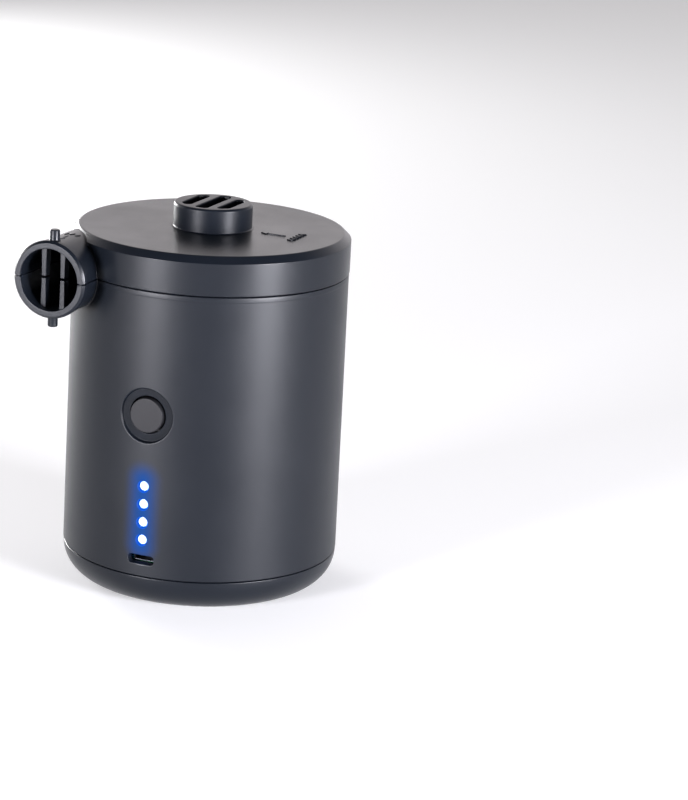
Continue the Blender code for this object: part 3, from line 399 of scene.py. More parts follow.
class Nodes:
    """The nodes of a material or a world, with short ways to add and join them."""

    def __init__(self, owner, shader="Principled BSDF", place="Object"):
        owner.use_nodes = True
        self.owner = owner
        self.tree = owner.node_tree
        self.shader = self.tree.nodes[shader]
        self.place = self.add("ShaderNodeTexCoord").outputs[place]

    def feed(self, socket, value):
        if hasattr(value, "links"):
            self.tree.links.new(value, socket)
        else:
            socket.default_value = value

    def add(self, kind, inputs=None, **settings):
        """A node with its inputs, by name or number, and its settings."""
        node = self.tree.nodes.new(kind)
        for key, value in settings.items():
            setattr(node, key, value)
        for key, value in (inputs or {}).items():
            self.feed(node.inputs[key], value)
        return node

    def set(self, **inputs):
        for key, value in inputs.items():
            self.feed(self.shader.inputs[key.replace("_", " ")], value)

    def math(self, operation, a, b=0.0):
        return self.add("ShaderNodeMath", {0: a, 1: b}, operation=operation).outputs[0]

    def noise(self, scale, detail=2.0, rough=0.5, stretch=(1, 1, 1)):
        """Noise with its scale in features per metre of the object."""
        place = self.add("ShaderNodeMapping", {"Vector": self.place, "Scale": stretch}).outputs[0]
        inputs = {"Vector": place, "Scale": scale, "Detail": detail, "Roughness": rough}
        return self.add("ShaderNodeTexNoise", inputs).outputs["Fac"]

    def ramp(self, value, low, high, start=0.0, end=1.0, curve="LINEAR"):
        """From low to high while value goes from start to end."""
        inputs = {"Value": value, "From Min": start, "From Max": end, "To Min": low, "To Max": high}
        return self.add("ShaderNodeMapRange", inputs, interpolation_type=curve).outputs[0]

    def distance(self, across, z, height):
        """Distance in the XZ plane from a point on the middle line; across is x squared."""
        rise = self.math("SUBTRACT", z, height)
        return self.math("SQRT", self.math("ADD", across, self.math("MULTIPLY", rise, rise)))

    def light_distance(self, across, z):
        """Distance in the XZ plane from the nearest charge light."""
        nearest = self.distance(across, z, LED_Z[0] * MM)
        for led in LED_Z[1:]:
            nearest = self.math("MINIMUM", nearest, self.distance(across, z, led * MM))
        return nearest

    def blend(self, factor, one, two):
        """A mix of two colours.  Inputs 6 and 7 of the node are its colours."""
        one, two = ((*c, 1.0) if isinstance(c, tuple) else c for c in (one, two))
        inputs = {"Factor": factor, 6: one, 7: two}
        return self.add("ShaderNodeMix", inputs, data_type="RGBA").outputs[2]

    def bump(self, height, distance):
        inputs = {"Height": height, "Distance": distance, "Strength": 1.0}
        self.set(Normal=self.add("ShaderNodeBump", inputs).outputs[0])

    def xyz(self):
        return self.add("ShaderNodeSeparateXYZ", {0: self.place}).outputs


def surface(name):
    return Nodes(bpy.data.materials.new(name))


def moulded(name, colour, rough, grain=0.00002, spread=0.1, specular=0.4):
    """Nodes of a moulded plastic with a fine grain and a slightly cloudy sheen."""
    n = surface(name)
    cloud = n.noise(38.0, 3.0, 0.55)
    darker = tuple(c * (1 - spread) for c in colour)
    lighter = tuple(c * (1 + spread) for c in colour)
    n.set(Base_Color=n.blend(cloud, darker, lighter), Specular_IOR_Level=specular)
    n.set(Roughness=n.ramp(cloud, rough - 0.035, rough + 0.035, 0.3, 0.7))
    n.bump(n.noise(5200.0, 2.0, 0.6), grain)
    return n


def metal(name, colour, rough, stretch=(1, 1, 1), scale=900.0, spread=0.12, bump=0.000006):
    """Bare metal with drawn or ground marks along the unstretched direction."""
    n = surface(name)
    marks = n.noise(scale, 4.0, 0.6, stretch)
    stain = n.noise(70.0, 3.0, 0.6)
    dark = tuple(c * (1 - spread) for c in colour)
    n.set(Base_Color=n.blend(stain, dark, colour), Metallic=1.0)
    n.set(Roughness=n.ramp(marks, rough - 0.08, rough + 0.1, 0.25, 0.75))
    n.bump(marks, bump)
    return n.owner


def housing_with_painted_light(name):
    """The housing's plastic.  Round the charge lights it gives off a painted blue glow, painted light
    for what they spill on the wall and on the edges of their holes; in the dish round the button its
    sheen is weaker, as painted shade."""
    n = moulded(name, SHELL_COLOUR, BODY_ROUGH, SHELL_GRAIN, specular=SHELL_GLOSS)
    x, y, z = n.xyz()[:3]
    low, high = (LED_Z[-1] - 1.5) * MM, (LED_Z[0] + 2.2) * MM
    along = n.math("MINIMUM", n.math("MAXIMUM", z, low), high)
    across = n.math("MULTIPLY", x, x)
    halo = n.ramp(n.distance(across, z, along), 0.0, 1.0, GLOW_REACH, 0.0, "SMOOTHSTEP")
    front = n.math("LESS_THAN", y, 0.0)
    # Painted light: a blue glow painted on the housing as emission round the charge lights and on the
    # edges of their holes
    painted_glow = n.math("MULTIPLY", n.math("POWER", halo, 1.2), front)
    near_light = n.math("LESS_THAN", n.light_distance(across, z), (LED_HOLE_R + 0.12) * MM)
    hole = n.math("MULTIPLY", near_light, front)
    painted_wall_light = n.math("MULTIPLY", painted_glow, WALL_LIGHT)
    painted_hole_light = n.math("MULTIPLY", hole, HOLE_LIGHT)
    n.set(Emission_Color=n.blend(hole, (0.0, 0.2, 1.0), (0.0, 0.14, 1.0)))
    n.set(Emission_Strength=n.math("ADD", painted_wall_light, painted_hole_light))
    # The sheen nearly goes inside the painted blue glow, and is weaker in the dish as painted shade
    in_dish = n.math("LESS_THAN", n.distance(across, z, BUTTON_Z * MM), (DISH_R - 0.05) * MM)
    dish = n.math("MULTIPLY", in_dish, front)
    sheen = n.math("SUBTRACT", 1.0, n.math("MULTIPLY", painted_glow, GLOW_DULL))
    sheen = n.math("SUBTRACT", sheen, n.math("MULTIPLY", dish, DISH_PAINTED_SHADE))
    n.set(Specular_IOR_Level=n.math("MULTIPLY", SHELL_GLOSS, sheen))
    return n.owner


def light_guide(name):
    """Stands for clear rods lit from behind: white in the middle of each end, blue at its rim."""
    n = surface(name)
    x, _, z = n.xyz()[:3]
    nearest = n.light_distance(n.math("MULTIPLY", x, x), z)
    core = n.ramp(nearest, 0.0, 1.0, 0.85 * ROD_R * MM, CORE_R, "SMOOTHSTEP")
    sparkle = n.ramp(n.noise(900.0, 2.0, 0.5), 0.75, 1.25, 0.3, 0.7)
    n.set(Base_Color=(0.6, 0.8, 1.0, 1.0), Roughness=0.12)
    n.set(Emission_Color=n.blend(core, (0.01, 0.16, 1.0), (0.62, 0.84, 1.0)))
    n.set(Emission_Strength=n.math("MULTIPLY", n.ramp(core, 0.7, 1.15), sparkle))
    return n.owner


BLACK_ABS = moulded("black_abs", SHELL_COLOUR, LID_ROUGH, SHELL_GRAIN, specular=SHELL_GLOSS).owner
# The housing's plastic carries painted light and shade: a blue glow round the charge lights and a dimmer
# dish
HOUSING_ABS = housing_with_painted_light("black_abs_painted_light")
PORT_ABS = moulded("port_abs", SHELL_COLOUR, 0.34, SHELL_GRAIN, specular=PORT_GLOSS).owner
BUTTON_ABS = moulded("button_abs", (0.01, 0.01, 0.0115), 0.45, 0.00002, specular=0.17).owner
LIGHT_GUIDE = light_guide("light_guide")
FAN_NYLON = moulded("impeller_nylon", (0.03, 0.03, 0.033), 0.38, 0.00003, 0.2).owner


# -------- shells
def finish(obj, material, node, body="housing"):
    """Gives a made piece its material and its body, and hides the CAD node it stands for."""
    if not obj.data.has_custom_normals:
        weighted = obj.modifiers.new("weighted", "WEIGHTED_NORMAL")
        weighted.keep_sharp = True
    obj.data.materials.clear()
    obj.data.materials.append(material)
    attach(obj, body)
    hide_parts(node)


def wall_r(z):
    """Radius of the housing's slightly conical wall."""
    low, high = BASE_SEAM_Z + SEAM, LID_SEAM_Z - SEAM
    return FOOT_R + (TOP_R - FOOT_R) * (z - low) / (high - low)


def on_wall(x, z, depth=0.0):
    return Vector((x, depth - sqrt(wall_r(z) ** 2 - x**2), z))


def on_inner_wall(x, z):
    return Vector((x, -sqrt(INNER_R**2 - x**2), z))


def wall_normal(co):
    """Outward direction of the housing's wall, or None away from it."""
    r = hypot(co.x, co.y)
    low, high = BASE_SEAM_Z + SEAM + EDGE - 0.02, RIM_Z - 0.4
    if not low < co.z < high or abs(r - wall_r(co.z)) > 0.01:
        return None
    slope = (FOOT_R - TOP_R) / (high - low)
    return Vector((co.x / r, co.y / r, slope)).normalized()


def bore_tool():
    """The nozzle's bore, as a cutter."""
    bm = bmesh.new()
    radius, start, end = NOZZLE_BORE_R + 0.25, -3.0, NOZZLE_BORE_END_Y - NOZZLE_FRONT_Y
    revolve(bm, [(0, start), (radius, start), (radius, end), (0, end)], 96, place=NOZZLE_PLACE)
    return object_from(bm, "bore_tool")


def hole_loop(kind, z, out):
    """Outline of a hole in the housing's front, wider by out all round."""
    if kind == "dish":
        return circle(DISH_R + out, DISH_STEPS, (0, z))
    if kind == "led":
        return circle(LED_HOLE_R + out, LED_STEPS, (0, z))
    w, h, r = USB_SLOT
    return rounded_rectangle(w + 2 * out, h + 2 * out, r + out, (0, z))


def front_sheet(bm, angles, rows, radius_at, place, widths):
    """The front part of a wall with its holes, each wider by its kind's entry in widths."""
    outline = [(radius_at(rows[0]) * sin(a), rows[0]) for a in angles]
    outline += [(radius_at(rows[-1]) * sin(a), rows[-1]) for a in reversed(angles)]
    holes = [hole_loop(kind, z, widths.get(kind, 0.0)) for kind, z in HOLES]
    spots = []
    for z in rows[1:-1]:
        for a in angles[1:-1]:
            spot = (radius_at(z) * sin(a), z)
            near = min(dist(spot, p) for hole in holes for p in hole)
            if near > 0.5 and not any(inside(spot, hole) for hole in holes):
                spots.append(spot)
    return holed_sheet(bm, outline, holes, spots, place)


def dish_section():
    """(r, y) from the foot of the dish's wall, through the button's hole, to the boss."""
    soft, edge, margin, back = 0.25, 0.12, 0.06, BUTTON_BACK_Y - FLANGE_T - 0.3
    turns = (0.0, pi / 6, pi / 3, pi / 2)
    return [
        *((DISH_R - soft * (1 - cos(a)), DISH_Y - soft * (1 - sin(a))) for a in turns),
        (DISH_R - soft - margin, DISH_Y),
        (BUTTON_HOLE_R + edge + margin, DISH_Y),
        (BUTTON_HOLE_R + edge, DISH_Y),
        (BUTTON_HOLE_R + edge * 0.3, DISH_Y + edge * 0.3),
        (BUTTON_HOLE_R, DISH_Y + edge),
        (BUTTON_HOLE_R, back),
        (BOSS_R, back),
    ]


def make_housing():
    bm = bmesh.new()
    low, high = BASE_SEAM_Z + SEAM, LID_SEAM_Z - SEAM
    sheet_low, sheet_high = low + 1.0, BUTTON_Z + DISH_R + 2.5
    outer_high = [
        (INNER_R, high, 0.2),
        (wall_r(high) + RIM_OUT, high, EDGE),
        (wall_r(RIM_Z) + RIM_OUT, RIM_Z, 0.05),
        (wall_r(RIM_Z), RIM_Z - 0.15, 0.05),
        (wall_r(RIM_Z - 0.5), RIM_Z - 0.5, 0),
    ]
    lowest = [(wall_r(low), low, EDGE), (INNER_R, low, 0.2)]
    seen = [(wall_r(sheet_high), sheet_high, 0), (wall_r(sheet_low), sheet_low, 0)]
    hidden = [(INNER_R, sheet_low, 0), (INNER_R, sheet_high, 0)]
    count = 2 * round(STEPS * degrees(asin(PATCH_X / FOOT_R)) / 360)
    half = count / 2 * 360 / STEPS  # degrees on each side of the front
    profile = rounded(outer_high + seen + lowest + hidden)
    revolve(bm, profile, STEPS - count, start=-90 + half, sweep=360 - 2 * half)
    lower = rounded([hidden[-1], *outer_high, seen[0], seen[1], *lowest, hidden[0]])
    first, last = lower.index(Vector(seen[0][:2])), lower.index(Vector(seen[1][:2]))
    revolve(bm, lower[: first + 1], count, start=-90 - half, sweep=2 * half, closed=False)
    revolve(bm, lower[last:], count, start=-90 - half, sweep=2 * half, closed=False)

    # The front sheet with its holes, outside and inside
    angles = [radians(-half + 2 * half * i / count) for i in range(count + 1)]
    rows = [sheet_low + (sheet_high - sheet_low) * i / 24 for i in range(25)]
    outside = front_sheet(bm, angles, rows, wall_r, on_wall, LIPS)
    boss = {"dish": BOSS_R - DISH_R}
    within = front_sheet(bm, angles, rows, lambda z: INNER_R, on_inner_wall, boss)
    for (kind, z), start, end in zip(HOLES, outside, within):
        loops = [start]
        for out, depth in lip(LIPS[kind])[1:]:
            spots = hole_loop(kind, z, out)
            loops.append([bm.verts.new(on_wall(px, pz, depth)) for px, pz in spots])
        if kind == "dish":
            for r, y in dish_section():
                spots = circle(r, DISH_STEPS, (0, z))
                loops.append([bm.verts.new((px, y, pz)) for px, pz in spots])
        skin(bm, loops + [end])

    shell = object_from(bm, "housing_shell")
    apply_booleans(shell, [bore_tool()], normals=wall_normal)
    finish(shell, HOUSING_ABS, "main_housing")


def lid_corners():
    seam = LID_SEAM_Z + SEAM
    tip = LID_SEAM_Z - SPIGOT_H
    ledge = LID_SEAM_Z + SPIGOT_H
    hole_r = PORT_NECK_R + 0.3
    return [
        (hole_r, TOP_Z, 0.15),
        (LID_R - CHAMFER_IN, TOP_Z, 0.9),
        (LID_R, TOP_Z - CHAMFER_H, 0.35),
        (LID_R, seam, EDGE),
        (SPIGOT_R, seam, 0.1),
        (SPIGOT_R, tip, 0.2),
        (SPIGOT_R - SPIGOT_WALL, tip, 0.2),
        (SPIGOT_R - SPIGOT_WALL, ledge - 1.5, 0),
        (INNER_R, ledge, 0),
        (INNER_R, CEILING_Z, 0.6),
        (hole_r, CEILING_Z, 0.1),
    ]


def make_lid():
    bm = bmesh.new()
    revolve(bm, rounded(lid_corners(), 6), STEPS)
    lid = object_from(bm, "lid_shell")
    apply_booleans(lid, [bore_tool()])
    finish(lid, BLACK_ABS, "lid")


def prism(bm, outline, low, high, edge, place=Matrix.Identity(4)):
    """A raised mark or a rib: an upright prism with softened top edges."""
    n = len(outline)
    inner = []
    for i in range(n):
        before, here, after = (Vector(outline[j % n]) for j in (i - 1, i, i + 1))
        one, two = (here - before).normalized(), (after - here).normalized()
        side = Vector((-(one + two).y, (one + two).x))
        size = max(0.35, one.dot(two) / 2 + 0.5)
        inner.append(here + side.normalized() * edge / sqrt(size))
    loops = [[place @ Vector((p[0], p[1], z)) for p in loop]
             for loop, z in ((outline, low), (outline, high - edge), (inner, high))]
    loft(bm, loops)


def arrow(tip, tail, half, head, barb):
    """Outline of an arrow that points to -X, counter-clockwise."""
    return [(tip, 0), (tip + head, -half - barb), (tip + head, -half), (tail, -half),
            (tail, half), (tip + head, half), (tip + head, half + barb)]


def chevrons(x, pitch, count, size, thick):
    """Outlines of a row of chevrons along Y, each pointing to -X."""
    rows = []
    for i in range(count):
        y = (i - (count - 1) / 2) * pitch
        low, high, far = y - size * 0.5, y + size * 0.5, x + size + thick
        rows.append([(x, y), (x + size, low), (far, low), (x + thick, y), (far, high), (x + size, high)])
    return rows


def make_marks():
    """Raised signs for the two air directions: one on the lid, one on the nozzle."""
    sink, edge = 0.3, 0.1
    bm = bmesh.new()
    outlines = [arrow(tip=PORT_R + 4.4, tail=PORT_R + 12.9, half=0.4, head=2.2, barb=0.85)]
    outlines += chevrons(x=PORT_R + 15.4, pitch=2.3, count=5, size=1.7, thick=0.9)
    for outline in outlines:
        prism(bm, outline, TOP_Z - sink, TOP_Z + MARK_H, edge)
    finish(object_from(bm, "lid_marks", sharp=25), BLACK_ABS, "lid")

    # On the nozzle they run along its top and follow its round back
    bm = bmesh.new()
    turn = Matrix.Translation((NOZZLE_X, PIN_Y + 2.6, LID_SEAM_Z))
    turn = turn @ Matrix.Rotation(radians(90), 4, "Z")
    crown = NOZZLE_ROOT_R + 0.25
    outlines = [arrow(tip=0.0, tail=6.0, half=0.4, head=2.0, barb=0.8)]
    outlines += chevrons(x=7.4, pitch=1.9, count=3, size=1.7, thick=0.65)
    for outline in outlines:
        prism(bm, outline, crown - 0.6, crown + 0.3, edge, turn)
    for v in bm.verts:
        across = v.co.x - NOZZLE_X
        v.co.z -= crown - sqrt(crown**2 - across**2)
    finish(object_from(bm, "nozzle_marks", sharp=25), BLACK_ABS, "lid")


def make_port():
    """The slotted cap of the intake."""
    bm = bmesh.new()
    steps, edge = 160, 0.3
    plate_z = PORT_TOP_Z - PORT_PLATE
    corners = [
        (PORT_R, PORT_TOP_Z, PORT_ROUND),
        (PORT_R, TOP_Z + 0.02, 0.45),
        (PORT_FOOT_R + 0.25, TOP_Z + 0.02, 0),
        (PORT_NECK_R, TOP_Z - 0.1, 0),
        (PORT_NECK_R, CEILING_Z, 0.2),
        (PORT_BORE_R, CEILING_Z, 0.4),
        (PORT_BORE_R, plate_z, 0.5),
    ]
    profile = rounded([(0.0, PORT_TOP_Z, 0), *corners, (0.0, plate_z, 0)], 7)[1:-1]
    revolve(bm, profile, steps, closed=False)
    top = circle(profile[0][0], steps)
    under = circle(profile[-1][0], steps)

    def level(z):
        return lambda x, y: Vector((x, y, z))

    wide = [slot_outline(*slot, out=edge) for slot in SLOTS]
    upper = holed_sheet(bm, top, wide, [], level(PORT_TOP_Z))
    lower = holed_sheet(bm, under, [slot_outline(*slot) for slot in SLOTS], [], level(plate_z))
    for slot, start, end in zip(SLOTS, upper, lower):
        loops = [start]
        for out, depth in lip(edge, 3)[1:]:
            spots = slot_outline(*slot, out=out)
            loops.append([bm.verts.new((x, y, PORT_TOP_Z - depth)) for x, y in spots])
        skin(bm, loops + [end])
    finish(object_from(bm, "intake_port_cap"), PORT_ABS, "intake_port")


def inset(profile, distance):
    """A closed profile moved inwards."""
    n = len(profile)
    pairs = [(profile[i - 1], profile[i]) for i in range(n)]
    turn = 1 if sum(a[0] * b[1] - b[0] * a[1] for a, b in pairs) > 0 else -1
    moved = []
    for i in range(n):
        before, here, after = (Vector(profile[j % n]) for j in (i - 1, i, i + 1))
        along = (after - before).normalized()
        moved.append(here + Vector((-along.y, along.x)) * distance * turn)
    return moved


def tube_r(y):
    """Radius of the nozzle's tube behind its collar."""
    part = (y - NOZZLE_FRONT_Y) / (NOZZLE_ROOT_Y - NOZZLE_FRONT_Y)
    return NOZZLE_LIP_R + (NOZZLE_ROOT_R - NOZZLE_LIP_R) * part


def nozzle_tube(side, name):
    """Half of the nozzle's tube, with its collar, cut off where the body's wall begins."""
    length = NOZZLE_ROOT_Y - NOZZLE_FRONT_Y
    collar, soft, chamfer = 2.3, 0.12, 0.75
    margin = 3.0  # degrees from the seam to the third ring
    profile = rounded([
        (NOZZLE_BORE_R, 0, 0.25),
        (NOZZLE_R - chamfer, 0, 0.2),
        (NOZZLE_R, chamfer, 0.3),
        (NOZZLE_R, collar, 0.12),
        (tube_r(NOZZLE_FRONT_Y + collar), collar + 0.3, 0.15),
        (NOZZLE_ROOT_R, length, 0),
        (NOZZLE_BORE_R, length, 0),
    ])
    bm = bmesh.new()
    steps = 72
    seam_loop = inset(profile, soft)
    rings = []
    for i in range(steps + 5):
        if i in (0, steps + 4):
            rise, loop = SEAM, seam_loop
        elif i in (1, steps + 3):
            rise, loop = SEAM + soft, profile
        else:
            rise, loop = None, profile
        left = i > steps / 2 + 2
        ring = []
        for r, t in loop:
            if rise is None:
                a = radians(margin + (180 - 2 * margin) * (i - 2) / steps)
                x, up = r * cos(a), r * sin(a)
            else:
                x, up = sqrt(r**2 - rise**2) * (-1 if left else 1), rise
            ring.append(bm.verts.new((NOZZLE_X + x, NOZZLE_FRONT_Y + t, LID_SEAM_Z + side * up)))
        rings.append(ring)
    solid(bm, rings)
    tube = object_from(bm, name)
    bm = bmesh.new()
    trim_low, trim_high = 80, TOP_Z - WALL / 2
    trim = [(0, trim_low), (BODY_TRIM_R, trim_low), (BODY_TRIM_R, trim_high), (0, trim_high)]
    revolve(bm, trim, STEPS)
    apply_booleans(tube, [object_from(bm, "inside_tool")])
    return tube


def nozzle_bars(side, name):
    """The half bars in the nozzle's mouth, its pin, and below the seam the two tongues."""
    bm = bmesh.new()
    mouth, half = NOZZLE_BORE_R + 0.6, BAR_GAP / 2

    def tapered(co):
        part = (abs(co.z - LID_SEAM_Z) - half) / (mouth - half)
        width = BAR_SEAM_W + (BAR_WALL_W - BAR_SEAM_W) * part
        middle = NOZZLE_X + copysign(BAR_OFFSET, co.x - NOZZLE_X)
        return Vector((middle + (co.x - middle) * width, co.y, co.z))

    for x in (NOZZLE_X - BAR_OFFSET, NOZZLE_X + BAR_OFFSET):
        ends = sorted((LID_SEAM_Z + side * mouth, LID_SEAM_Z + side * half))
        low, high = (x - 0.5, BAR_FRONT_Y, ends[0]), (x + 0.5, BAR_FRONT_Y + BAR_DEPTH, ends[1])
        box_mesh(bm, low, high, 0.16, tapered)
    if side < 0:
        # A tongue on each side closes the seam behind its slit
        for sign, end in zip((-1, 1), TONGUE_ENDS_Y):
            middle = NOZZLE_X + sign * TONGUE_R
            low = (middle - TONGUE_T / 2, NOZZLE_FRONT_Y + TONGUE_SETBACK, LID_SEAM_Z - TONGUE_H)
            box_mesh(bm, low, (middle + TONGUE_T / 2, end, LID_SEAM_Z + TONGUE_H), 0.08)
    foot = NOZZLE_R - 0.8
    pin = rounded([
        (0, PIN_REACH, 0),
        (PIN_R, PIN_REACH, 0.45),
        (PIN_R, NOZZLE_R + 0.1, 0),
        (PIN_R + 0.3, NOZZLE_R - 0.35, 0),
        (0, foot, 0),
    ])
    upright = Matrix.Translation((NOZZLE_X, PIN_Y, LID_SEAM_Z)) @ Matrix.Diagonal((1, 1, side, 1))
    revolve(bm, pin, 40, closed=False, place=upright)
    return object_from(bm, name, sharp=40)


def make_nozzle(side):
    """Half of the nozzle: side 1 is above the seam and goes with the lid, -1 below."""
    node, half = ("lid", "upper") if side > 0 else ("main_housing", "lower")
    finish(nozzle_tube(side, f"nozzle_{half}"), BLACK_ABS, node)
    finish(nozzle_bars(side, f"nozzle_bars_{half}"), BLACK_ABS, node)
    finish(root_fillet(side, f"nozzle_fillet_{half}"), BLACK_ABS, node)


def soft_max(a, b, width):
    """The larger of two numbers, rounded where they cross."""
    h = max(width - abs(a - b), 0.0) / width
    return max(a, b) + h * h * width * 0.25


def body_gap(p, side):
    """Signed distance from a point to the lid's or the housing's outer surface."""
    r = hypot(p.x, p.y)
    if side < 0:
        return r - wall_r(p.z) - (RIM_OUT if p.z > RIM_Z else 0.0)
    slope = hypot(CHAMFER_H, CHAMFER_IN)
    chamfer = ((r - LID_R) * CHAMFER_H + (p.z - (TOP_Z - CHAMFER_H)) * CHAMFER_IN) / slope
    return soft_max(soft_max(r - LID_R, chamfer, 0.5), p.z - TOP_Z, 0.9)


def tube_gap(p):
    """Signed distance from a point to the outside of the nozzle's tube."""
    return hypot(p.x - NOZZLE_X, p.z - LID_SEAM_Z) - tube_r(p.y)


def slope_of(gap, p, step=0.02):
    along = [Vector((step, 0, 0)), Vector((0, step, 0)), Vector((0, 0, step))]
    return Vector([gap(p + d) - gap(p - d) for d in along]).normalized()


def settle(gap, p):
    """Moves a point onto the surface where gap is zero."""
    for _ in range(4):
        p = p - slope_of(gap, p) * gap(p)
    return p


def root_fillet(side, name):
    """The concave blend where the nozzle's tube runs into the body."""
    radius, steps, count = 0.7, 120, 6
    bm = bmesh.new()
    rows = []
    first = asin((SEAM + 0.05) / NOZZLE_ROOT_R)

    def body(p):
        return body_gap(p, side)

    for i in range(steps + 1):
        a = first + (pi - 2 * first) * i / steps

        def spot(y):
            r = tube_r(y)
            return Vector((NOZZLE_X + r * cos(a), y, LID_SEAM_Z + side * r * sin(a)))

        front, back = NOZZLE_FRONT_Y + 4.0, NOZZLE_ROOT_Y
        if body(spot(back)) > 0:
            continue
        while back - front > 1e-4:
            middle = (front + back) / 2
            if body(spot(middle)) > 0:
                front = middle
            else:
                back = middle
        meet = spot(front)
        out_body, out_tube = slope_of(body, meet), slope_of(tube_gap, meet)
        crease = out_body.cross(out_tube)
        crossing = min(1.0, crease.length)
        if crossing < 1e-3:
            continue
        crease.normalize()
        on_body, on_tube = crease.cross(out_body), crease.cross(out_tube)
        on_body *= 1 if on_body.dot(out_tube) > 0 else -1
        on_tube *= 1 if on_tube.dot(out_body) > 0 else -1
        reach = radius * (0.25 + 0.75 * crossing)
        start = settle(tube_gap, meet + on_tube * reach) - out_tube * 0.01
        end = settle(body, meet + on_body * reach) - out_body * 0.01
        row = []
        for j in range(count + 1):
            t = j / count
            row.append(bm.verts.new(start * (1 - t) ** 2 + meet * 2 * t * (1 - t) + end * t**2))
        row.append(bm.verts.new(meet - (out_body + out_tube) * 0.2))
        rows.append(row)
    solid(bm, rows)
    return object_from(bm, name, sharp=50)


def screw_spot(angle):
    a = radians(angle)
    return Matrix.Translation((BASE_SCREW_R * cos(a), BASE_SCREW_R * sin(a), 0))


def make_base():
    seam = BASE_SEAM_Z - SEAM
    inner = [
        (0, BASE_FLOOR, 0),
        (BASE_R - WALL, BASE_FLOOR, BASE_FILLET_R - WALL),
        (SPIGOT_R - SPIGOT_WALL, seam + SPIGOT_H, 0.2),
        (SPIGOT_R, seam + SPIGOT_H, 0.2),
        (SPIGOT_R, seam, 0),
    ]
    outer = [(BASE_R, seam, EDGE), (BASE_R, 0, BASE_FILLET_R), (0, 0, 0)]
    # Two runs of corners, so that the big radius gets more facets than the small ones
    profile = rounded(inner + outer[:1] + [(BASE_R, BASE_FILLET_R + 0.01, 0)], 8)
    profile += rounded([(BASE_R, seam, 0), (BASE_R, 0, BASE_FILLET_R), (0, 0, 0)], 32)[1:]
    bm = bmesh.new()
    revolve(bm, profile, STEPS, closed=False)
    base = object_from(bm, "base_shell")
    tools = []
    for i, angle in enumerate(BASE_SCREW_ANGLES):
        bm = bmesh.new()
        edge = [(WELL_R + out, depth) for out, depth in lip(0.4)]
        well = [(0, -2), (WELL_R + 0.4, -2), *edge, (WELL_R, WELL_TOP_Z), (0, WELL_TOP_Z)]
        revolve(bm, well, 48, closed=False, place=screw_spot(angle))
        tools.append(object_from(bm, f"well_tool_{i}"))
    apply_booleans(base, tools)
    finish(base, BLACK_ABS, "base_cover")

    # The columns that the screws pass through stand round the wells
    bm = bmesh.new()
    column_r, column_top = 4.2, 14.7
    column = [(WELL_R, 2.2, 0), (column_r, 2.2, 0), (column_r, column_top, 0.2),
              (SCREW_CLEAR_R, column_top, 0), (SCREW_CLEAR_R, WELL_TOP_Z, 0), (WELL_R, WELL_TOP_Z, 0)]
    for angle in BASE_SCREW_ANGLES:
        revolve(bm, rounded(column), 48, place=screw_spot(angle))
    finish(object_from(bm, "base_columns"), BLACK_ABS, "base_cover")


# -------- button and lights
def facing_front(z):
    """Stands a shape up with its own +Z towards the front, at a height on the middle line."""
    return Matrix.Translation((0, 0, z)) @ Matrix.Rotation(radians(90), 4, "X")


def make_button():
    back, flange = -BUTTON_BACK_Y, -BUTTON_BACK_Y + FLANGE_T
    profile = rounded([
        (0, -BUTTON_FACE_Y, 0),
        (BUTTON_R, -BUTTON_FACE_Y, 0.3),
        (BUTTON_R, flange, 0.1),
        (FLANGE_R, flange, 0.15),
        (FLANGE_R, back, 0.15),
        (0, back, 0),
    ], 6)
    bm = bmesh.new()
    revolve(bm, profile, 96, closed=False, place=facing_front(BUTTON_Z))
    finish(object_from(bm, "button_cap"), BUTTON_ABS, "power_button", "button")


def make_spring():
    """The button's return spring."""
    wire_r, turns, per_turn, around = 0.22, 2.5, 32, 10
    coil_r = (SPRING_HIGH.x - SPRING_LOW.x) / 2 - wire_r
    front, back = SPRING_LOW.y + wire_r, SPRING_HIGH.y - wire_r
    steps = round(turns * per_turn)
    loops = []
    for i in range(steps + 1):
        a = 2 * pi * i / per_turn
        out = Vector((cos(a), 0, sin(a)))
        centre = out * coil_r + Vector((0, front + (back - front) * i / steps, BUTTON_Z))
        loops.append([
            centre + wire_r * (out * cos(t) + Vector((0, sin(t), 0)))
            for t in (2 * pi * j / around for j in range(around))
        ])
    bm = bmesh.new()
    loft(bm, loops)
    spring = object_from(bm, "return_spring")
    spring.data.materials.append(FINISHES["shaft_steel"])
    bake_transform(spring)
    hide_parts("button_spring")


def make_light_pipe():
    """Four clear rods on one bar behind the wall."""
    bar_front, embed = PIPE_HIGH.y - 2.0, 0.6
    bm = bmesh.new()
    rod = rounded([
        (0, -ROD_FRONT_Y, 0),
        (ROD_R, -ROD_FRONT_Y, 0.3),
        (ROD_R, -bar_front - embed, 0),
        (0, -bar_front - embed, 0),
    ])
    for z in LED_Z:
        revolve(bm, rod, 48, closed=False, place=facing_front(z))
    box_mesh(bm, (PIPE_LOW.x, bar_front, PIPE_LOW.z), PIPE_HIGH, 0.3)
    finish(object_from(bm, "light_rods"), LIGHT_GUIDE, "light_pipe")


def make_usb_shell():
    """The folded steel shell of the charging socket, open at the front."""
    mouth, back, wall, corner = SHELL_LOW.y, SHELL_HIGH.y, 0.3, 0.7
    width, height = SHELL_HIGH.x - SHELL_LOW.x, SHELL_HIGH.z - SHELL_LOW.z
    steps = [(0, back), (0, mouth + 0.1), (0.03, mouth + 0.03), (0.1, mouth), (0.18, mouth),
             (0.26, mouth + 0.05), (wall, mouth + 0.15), (wall, back - 0.5)]
    loops = [
        [Vector((x, y, z)) for x, z in
         rounded_rectangle(width - 2 * out, height - 2 * out, corner - out, (0, USB_Z))]
        for out, y in steps
    ]
    bm = bmesh.new()
    loft(bm, loops)
    finish(object_from(bm, "usb_socket_shell"), SOCKET_STEEL_PAINTED_SHADE, "usb_shell")


